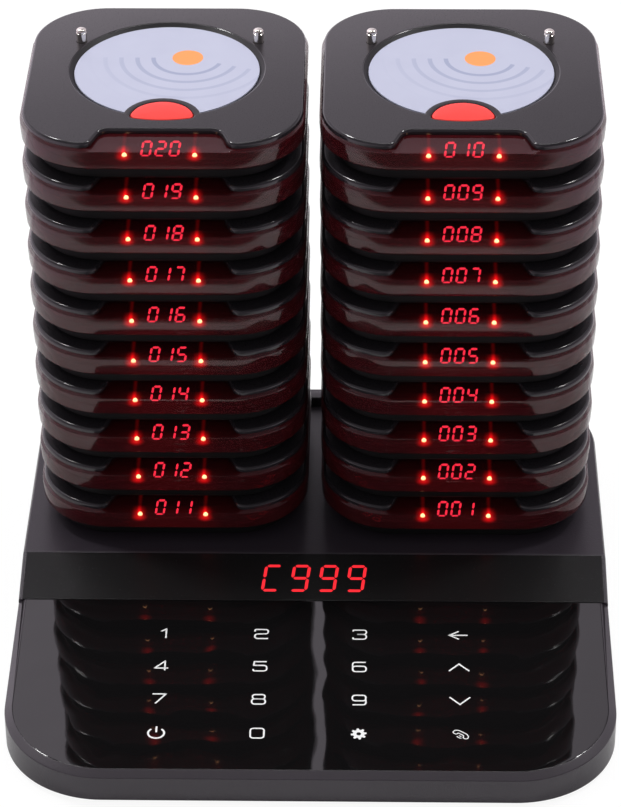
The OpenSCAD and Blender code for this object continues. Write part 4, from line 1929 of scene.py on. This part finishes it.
    @staticmethod
    def ordered(shell: Shell, numbers: list[int]) -> list[int]:
        """Sorts a convex ring's points round their middle.

        Args:
            shell: the shell they are in.
            numbers: the points' numbers.

        Returns:
            The numbers, anticlockwise.
        """
        middle = np.mean([shell.points[i][:2] for i in numbers], axis=0)
        return sorted(
            numbers,
            key=lambda i: math.atan2(shell.points[i][1] - middle[1], shell.points[i][0] - middle[0]),
        )

    def close_well(self, shell: Shell, front: list[int], floor: list[int], back: list[int]) -> None:
        """Closes the well for the panel and the window with its floor and its walls.

        Args:
            shell: the case's shell.
            front: the ring's points round the well.
            floor: the same points on the floor.
            back: the deck's points.
        """
        low_of = dict(zip(front, floor))
        ring = self.ordered(shell, front)
        ends = [i for i in ring if abs(shell.points[i][1] - self.strip_y) < 0.1]
        right = max(ends, key=lambda i: shell.points[i][0])
        left = min(ends, key=lambda i: shell.points[i][0])
        for a, b in zip(ring, ring[1:] + ring[:1]):
            if {a, b} != {left, right}:
                shell.faces.append((a, b, low_of[b], low_of[a]))
        deck = [i for i in back if abs(shell.points[i][1] - self.strip_y) < 1.0]
        deck_right = max(deck, key=lambda i: shell.points[i][0])
        deck_left = min(deck, key=lambda i: shell.points[i][0])
        shell.faces += [(left, right, deck_right, deck_left), (low_of[left], low_of[right], right, left)]
        shell.cap([[low_of[i] for i in ring]])

    def plate(self, outline: Loop, edge: Sequence[Pair], plane: Matrix,
              finish: Material, name: str) -> Object:
        """A flat plate in its well, with a softened top edge.

        Args:
            outline: its outline, drawn flat.
            edge: inset and height of each step of its edge, above its foot.
            plane: moves it to its place.
            finish: its finish.
            name: its name.

        Returns:
            The object.
        """
        shell = Shell()
        steps = ((0, -self.plate_t), *edge)
        shell.close([shell.ring(inset(outline, i), z) for i, z in steps])
        mesh = even_shading(shell.mesh("plate", [finish]))
        mesh.transform(plane)
        return place(mesh, name)

    def panel(self, finish: Material) -> Object:
        """The glossy touch panel with a fine ground edge.

        Args:
            finish: the gloss.

        Returns:
            The object.
        """
        inset_w = self.rim_w + 0.1
        half, r = self.width / 2 - inset_w, self.radius - inset_w
        length = (self.foot_y + self.depth / 2) / math.cos(self.panel_slope) - inset_w
        corners = [(half, -self.play), (-half, -self.play)]
        for side, start in ((-1, 1.0), (1, 1.5)):
            centre = (side * (half - r), r - length)
            corners += arc(centre, r, start * math.pi, (start + 0.5) * math.pi, steps=28)
        edge = ((0, -0.25), (0.07, -0.07), (0.25, 0.0))
        return self.plate(
            np.array(corners), edge, self.tilted(self.panel_slope), finish, "touch_panel_dressed"
        )

    def window(self, finish: Material) -> Object:
        """The smoked display window on the sloping strip.

        Args:
            finish: the smoked acrylic.

        Returns:
            The object.
        """
        half = self.width / 2 - self.frame_w - self.play
        run, rise = self.strip_y - self.foot_y, self.deck_z - self.foot_z
        length = math.hypot(run, rise) - self.window_end
        outline = np.array([(-half, 0.1), (half, 0.1), (half, length), (-half, length)])
        edge = ((0, -0.3), (0.08, -0.08), (0.3, 0.0))
        return self.plate(outline, edge, self.tilted(self.slope), finish, "display_window_dressed")

    def digits(self, finish: Material) -> Object:
        """The lit channel code in the display strip.

        Args:
            finish: the lit finish.

        Returns:
            The object.
        """
        outlines = []
        for k, sign in enumerate("C999"):
            across = self.digit_at[0] + (k - 1.5) * self.digit_step
            for bar in segment_digit(sign, width=5.2, height=10.6, bar=1.05, slant=0.12):
                outlines.append(bar + np.array([across, self.digit_at[1]]))
        mesh = tiles(outlines, thickness=0.05).mesh("base digits", [])
        mesh.transform(self.tilted(self.slope))
        mesh.materials.append(finish)
        return place(mesh, "display_digits_dressed")

    def key_outlines(self) -> list[Loop]:
        """The strokes of every printed key, on the touch panel's own plane.

        Returns:
            One outline for each stretch of a stroke.
        """
        rows = (("1", "2", "3", Glyph.BACK), ("4", "5", "6", Glyph.UP),
                ("7", "8", "9", Glyph.DOWN), (Glyph.POWER, "0", Glyph.GEAR, Glyph.HANDSET))
        outlines: list[Loop] = []
        for row, y in zip(rows, self.key_y):
            along = (y - self.foot_y) / math.cos(self.panel_slope)
            for sign, x in zip(row, self.key_x):
                drawn = self.digit(sign) if isinstance(sign, str) else self.sign(sign)
                outlines += [o + np.array([x, along]) for o in drawn]
        return outlines

    def digit(self, sign: str) -> list[Loop]:
        """One wide rounded digit, centred.

        Args:
            sign: the digit.

        Returns:
            Its strokes' outlines.
        """
        width, height = self.key_digit
        out: list[Loop] = []
        for stroke_no, (corners, closed) in enumerate(DIGIT_STROKES[sign]):
            path = [((x - 0.5) * width, (y - 0.5) * height) for x, y in corners]
            sharp = sign in "147" or (sign == "5" and stroke_no == 0)
            path = rounded_path(path, 0.05 if sharp else 1.2, closed)
            out += ribbon(path, self.stroke, closed)
        return out

    def sign(self, glyph: Glyph) -> list[Loop]:
        """One of the printed signs, centred.

        Args:
            glyph: the sign.

        Returns:
            Its strokes' outlines.
        """
        stroke, bold = self.stroke, 0.65
        if glyph is Glyph.BACK:
            return ribbon([(0.2, 2.0), (-3.0, 0), (0.2, -2.0)], stroke) + ribbon(
                [(-2.9, 0), (3.2, 0)], stroke
            )
        if glyph is Glyph.UP:
            return ribbon([(-3.4, -1.7), (0, 1.8), (3.4, -1.7)], stroke)
        if glyph is Glyph.DOWN:
            return ribbon([(-3.4, 1.7), (0, -1.8), (3.4, 1.7)], stroke)
        if glyph is Glyph.POWER:
            ring = [(x * 1.1, y) for x, y in arc((0, -0.3), 2.4, 2.25, 7.17, steps=28)]
            return ribbon(ring, bold) + ribbon([(0, 2.9), (0, 0.1)], bold)
        if glyph is Glyph.GEAR:
            return self.gear()
        return self.handset()

    def gear(self) -> list[Loop]:
        """A cog with eight teeth and a hole.

        Returns:
            Its outlines.
        """
        tip_r, root_r, hole_r, points = 2.6, 1.95, 0.75, 64
        outer, inner = [], []
        for k in range(points):
            angle = 2 * math.pi * k / points
            r = tip_r if k % 8 < 4 else root_r
            outer.append((r * math.cos(angle), r * math.sin(angle)))
            inner.append((hole_r * math.cos(angle), hole_r * math.sin(angle)))
        return [
            np.array([outer[i], outer[(i + 1) % points], inner[(i + 1) % points], inner[i]])
            for i in range(points)
        ]

    def handset(self) -> list[Loop]:
        """A telephone handset with two sound marks under it.

        Returns:
            Its strokes' outlines.
        """
        turn, size, line = -0.62, 0.87, 0.42
        spin = np.array([[math.cos(turn), -math.sin(turn)],
                         [math.sin(turn), math.cos(turn)]])
        body = rounded_path(
            [(-3.2, -0.9), (-3.2, 0.7), (-1.9, 1.5), (1.9, 1.5), (3.2, 0.7), (3.2, -0.9),
             (1.5, -0.9), (1.3, 0.2), (-1.3, 0.2), (-1.5, -0.9)], radius=0.7, closed=True
        )
        outlines = ribbon(body, line, closed=True)
        for r in (1.0, 1.9):
            outlines += ribbon(arc((0.2, 0.1), r, 4.2, 5.3, steps=8), width=0.4)
        return [size * o @ spin.T for o in outlines]

    def keys(self, finish: Material) -> Object:
        """The printed keys as a film of ink on the panel.

        Args:
            finish: the ink.

        Returns:
            The object.
        """
        outlines = [o if area(o) > 0 else o[::-1] for o in self.key_outlines()]
        mesh = tiles(outlines, self.ink_t).mesh("keys", [])
        mesh.transform(self.tilted(self.panel_slope) @ Matrix.Translation((0, 0, self.ink_gap * MM)))
        mesh.materials.append(finish)
        return place(mesh, "key_legends_dressed")

    def locating_block(self, finish: Material) -> Object:
        """The small block on the deck between the stacks' back corners.

        Args:
            finish: the case's finish.

        Returns:
            The object.
        """
        outline = rounded_rect(*self.block_size, self.block_r, steps=6)
        outline += np.array([0, self.block_y])
        shell = Shell()
        top = self.deck_z + self.block_h
        rings = [shell.ring(outline, self.deck_z - 0.2)]
        for step, drop in reversed(quarter(self.block_round)):
            rings.append(shell.ring(inset(outline, step), top - drop))
        shell.close(rings)
        return place(shell.mesh("block", [finish]), "locating_block_dressed")

    def build(self) -> None:
        """Makes the base's pieces and gives the carried-over nodes their finishes."""
        case_finish, print_finish = CASE.material(), PRINT.material()
        pieces = [
            (self.case(case_finish, RIM.material()), "base_case", ["base_upper_case"]),
            (self.locating_block(case_finish), "base_case", []),
            (self.panel(PANEL.material()), "touch_panel", ["touch_panel"]),
            (self.window(SMOKED.material()), "display_window", ["display_window"]),
            (self.digits(BASE_DIGITS.material()), "display", []),
            (self.keys(print_finish), "label", []),
        ]
        for piece, slot, nodes in pieces:
            if nodes:
                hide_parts(*nodes)
            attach(piece, "base")
            log.info("%s made", piece.name)
        kept = {
            "base_bottom_cover": CASE_BOTTOM, "touch_board": BOARD,
            "display_module": MODULE, "main_board": BOARD, "charging_posts": NICKEL,
            "rubber_feet": RUBBER, "dc_socket": SOCKET,
        }
        for name, finish in kept.items():
            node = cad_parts[name]
            node.data.materials.clear()
            node.data.materials.append(finish.material())
            log.info("%s dressed", name)


# ------------ studio


@dataclass
class Studio:
    """The white floor, the soft lights and the camera at the photograph's angle."""

    focal_px: float = 3253.6
    camera_mm: tuple[float, float, float] = (20.05, -902.3, 704.6)
    yaw: float = -0.0230
    pitch: float = 0.5999
    roll: float = -0.0076
    room_light: float = 0.5
    shine_colour: str = "#fdf3ff"
    backdrop: tuple[tuple[str, float, float, float, float], ...] = (
        ("X", -0.35, 0.35, 1.35, 0.72), ("Y", -0.35, 0.45, 0.3, 1.1),
    )
    heights: tuple[Pair, ...] = (
        (0.36, 1.0), (0.46, 0.77), (0.56, 0.4), (0.61, 0.5), (0.68, 1.0), (0.8, 1.0), (0.9, 0.35)
    )
    floor_half_m: float = 6.0
    floor_colour: str = "#f6f5f6"
    floor_shade: float = 0.9
    shade_y: Pair = (-0.15, -0.19)
    shade_x: Pair = (0.42, 0.1)
    side_glow: float = 0.9
    side_glow_x: Pair = (0.18, 0.4)
    glow_colour: str = "#ffeafc"
    glow_strength: float = 1.06
    glow_share: float = 0.86
    aim_m: tuple[float, float, float] = (0, 0, 0.09)
    lamps: tuple[tuple[str, Place, Place, float], ...] = (
        ("lamp_left", (-0.73, 0.29, 1.27), (0.16, 0.16), 6.5),
        ("lamp_right", (0.73, 0.29, 1.27), (0.16, 0.16), 5.5),
        ("strip_overhead", (0.0, 0.25, 1.4), (1.1, 0.08), 3.0),
    )

    def camera(self) -> None:
        """Sets the camera up from the fitted place, turn and focal length."""
        cy, sy, cp, sp = (math.cos(self.yaw), math.sin(self.yaw), math.cos(self.pitch),
                          math.sin(self.pitch))
        ahead = Vector((sy * cp, cy * cp, -sp))
        right = Vector((cy, -sy, 0))
        up = right.cross(ahead)
        cr, sr = math.cos(self.roll), math.sin(self.roll)
        side, rise = cr * right + sr * up, -sr * right + cr * up
        lens = bpy.data.cameras.new("camera")
        lens.sensor_fit = "HORIZONTAL"
        lens.sensor_width = SENSOR_WIDTH
        lens.lens = self.focal_px * SENSOR_WIDTH / IMAGE_WIDTH
        camera = add_object("camera", lens)
        turn = Matrix((side, rise, -ahead)).transposed().to_4x4()
        camera.matrix_world = Matrix.Translation(Vector(self.camera_mm) * MM) @ turn
        bpy.context.scene.camera = camera

    def floor(self) -> None:
        """A wide pale floor that shows white to the camera and keeps a soft shadow."""
        material, tree = new_material("studio_floor")
        path = add_node(tree, "ShaderNodeLightPath")
        where = add_node(tree, "ShaderNodeTexCoord").outputs["Object"]
        split = add_node(tree, "ShaderNodeSeparateXYZ", {0: where})
        # Seen in mirrors only, the floor is painted darker just in front of the base and glows far to each
        # side: painted shade and painted light in what the bands and the case reflect.
        ahead = add_node(
            tree, "ShaderNodeMapRange",
            {"Value": split.outputs["Y"], "From Min": self.shade_y[0],
             "From Max": self.shade_y[1], "To Max": self.floor_shade},
            interpolation_type="SMOOTHSTEP",
        )
        side = add_node(tree, "ShaderNodeMath", {0: split.outputs["X"]}, operation="ABSOLUTE").outputs[0]
        ranges = ((self.shade_x, ahead.outputs[0]), (self.side_glow_x, self.side_glow))
        mirrored = []
        for (start, end), level in ranges:
            part = add_node(
                tree, "ShaderNodeMapRange",
                {"Value": side, "From Min": start, "From Max": end, "To Max": level},
                interpolation_type="SMOOTHSTEP",
            )
            mirrored.append(add_node(
                tree, "ShaderNodeMath", {0: part, 1: path.outputs["Is Glossy Ray"]}, operation="MULTIPLY"
            ).outputs[0])
        tint = add_node(
            tree, "ShaderNodeMix", {0: mirrored[0], 6: linear(self.floor_colour), 7: (0, 0, 0, 1)},
            data_type="RGBA",
        )
        diffuse = add_node(tree, "ShaderNodeBsdfDiffuse", {"Color": tint.outputs[2]})
        cast = add_node(
            tree, "ShaderNodeMix",
            {0: path.outputs["Is Glossy Ray"], 6: (1, 1, 1, 1), 7: linear(self.glow_colour)},
            data_type="RGBA",
        )
        glow = add_node(
            tree, "ShaderNodeEmission", {"Color": cast.outputs[2], "Strength": self.glow_strength}
        )
        to_camera = add_node(
            tree, "ShaderNodeMath", {0: path.outputs["Is Camera Ray"], 1: self.glow_share},
            operation="MULTIPLY",
        )
        share = add_node(tree, "ShaderNodeMath", {0: to_camera, 1: mirrored[1]}, operation="ADD")
        mixed = add_node(tree, "ShaderNodeMixShader", {0: share, 1: diffuse, 2: glow})
        add_node(tree, "ShaderNodeOutputMaterial", {"Surface": mixed})
        size = self.floor_half_m
        mesh = bpy.data.meshes.new("floor")
        mesh.from_pydata(
            [(-size, -size, 0), (size, -size, 0), (size, size, 0), (-size, size, 0)], [], [(0, 1, 2, 3)]
        )
        mesh.materials.append(material)
        floor = add_object("floor", mesh)

    def room(self) -> None:
        """Even white light from all round, which camera and mirrors see as white."""
        world = bpy.data.worlds.new("room")
        world.use_nodes = True
        tree = world.node_tree
        tree.nodes.clear()
        path = add_node(tree, "ShaderNodeLightPath")
        seen = path.outputs["Is Camera Ray"]
        for ray in ("Is Glossy Ray", "Is Transmission Ray"):
            seen = add_node(
                tree, "ShaderNodeMath", {0: seen, 1: path.outputs[ray]}, operation="MAXIMUM"
            ).outputs[0]
        strength = add_node(
            tree, "ShaderNodeMapRange", {"Value": seen, "To Min": self.room_light, "To Max": 1.0}
        )
        light = add_node(tree, "ShaderNodeBackground", {"Color": (1, 1, 1, 1), "Strength": strength})
        shine = add_node(
            tree, "ShaderNodeBackground", {"Color": linear(self.shine_colour), "Strength": self.shade(tree)}
        )
        mixed = add_node(
            tree, "ShaderNodeMixShader", {0: path.outputs["Is Glossy Ray"], 1: light, 2: shine}
        )
        add_node(tree, "ShaderNodeOutputWorld", {"Surface": mixed})
        bpy.context.scene.world = world

    def shade(self, tree: NodeTree) -> NodeSocket:
        """The room that gloss mirrors: a white backdrop, darker overhead and in front.

        Args:
            tree: the room's tree.

        Returns:
            The brightness in each direction.
        """
        ahead = add_node(tree, "ShaderNodeTexCoord").outputs["Generated"]
        split = add_node(tree, "ShaderNodeSeparateXYZ", {0: ahead})
        shares = []
        for axis, start, end, low, high in self.backdrop:
            shares.append(add_node(
                tree, "ShaderNodeMapRange",
                {"Value": split.outputs[axis], "From Min": start, "From Max": end,
                 "To Min": low, "To Max": high},
                interpolation_type="SMOOTHSTEP",
            ).outputs[0])
        ramp = add_node(tree, "ShaderNodeValToRGB", {0: split.outputs["Z"]})
        stops = ramp.color_ramp.elements
        for number, (height, grey) in enumerate(self.heights):
            stop = stops[number] if number < 2 else stops.new(height)
            stop.position, stop.color = height, (grey, grey, grey, 1)
        level, *others = *shares, ramp.outputs["Color"]
        for other in others:
            level = add_node(tree, "ShaderNodeMath", {0: level, 1: other}, operation="MULTIPLY").outputs[0]
        return level

    def lamp(self, name: str, at: Place, size: Place, power: float) -> None:
        """Adds a soft light that points at the object.

        Args:
            name: the lamp's name.
            at: its place in metres.
            size: its width and height in metres.
            power: its power in watts.
        """
        light = bpy.data.lights.new(name, "AREA")
        light.shape = "RECTANGLE"
        light.size, light.size_y = size
        light.energy = power
        lamp = add_object(name, light)
        aim = (Vector(self.aim_m) - Vector(at)).to_track_quat("-Z", "Y")
        lamp.matrix_world = Matrix.Translation(at) @ aim.to_matrix().to_4x4()

    def build(self) -> None:
        """Sets up the camera, the floor, the room and the lamps."""
        scene = bpy.context.scene
        scene.view_settings.view_transform = "Standard"
        self.camera()
        self.floor()
        self.room()
        for lamp in self.lamps:
            self.lamp(*lamp)
        log.info("studio ready")


def main() -> None:
    """Builds the object and its studio in order."""
    logging.basicConfig(level=logging.INFO, format="%(name)s: %(message)s")
    Studio().build()
    Base().build()
    PagerStacks().build()


if __name__ == "__main__":
    main()
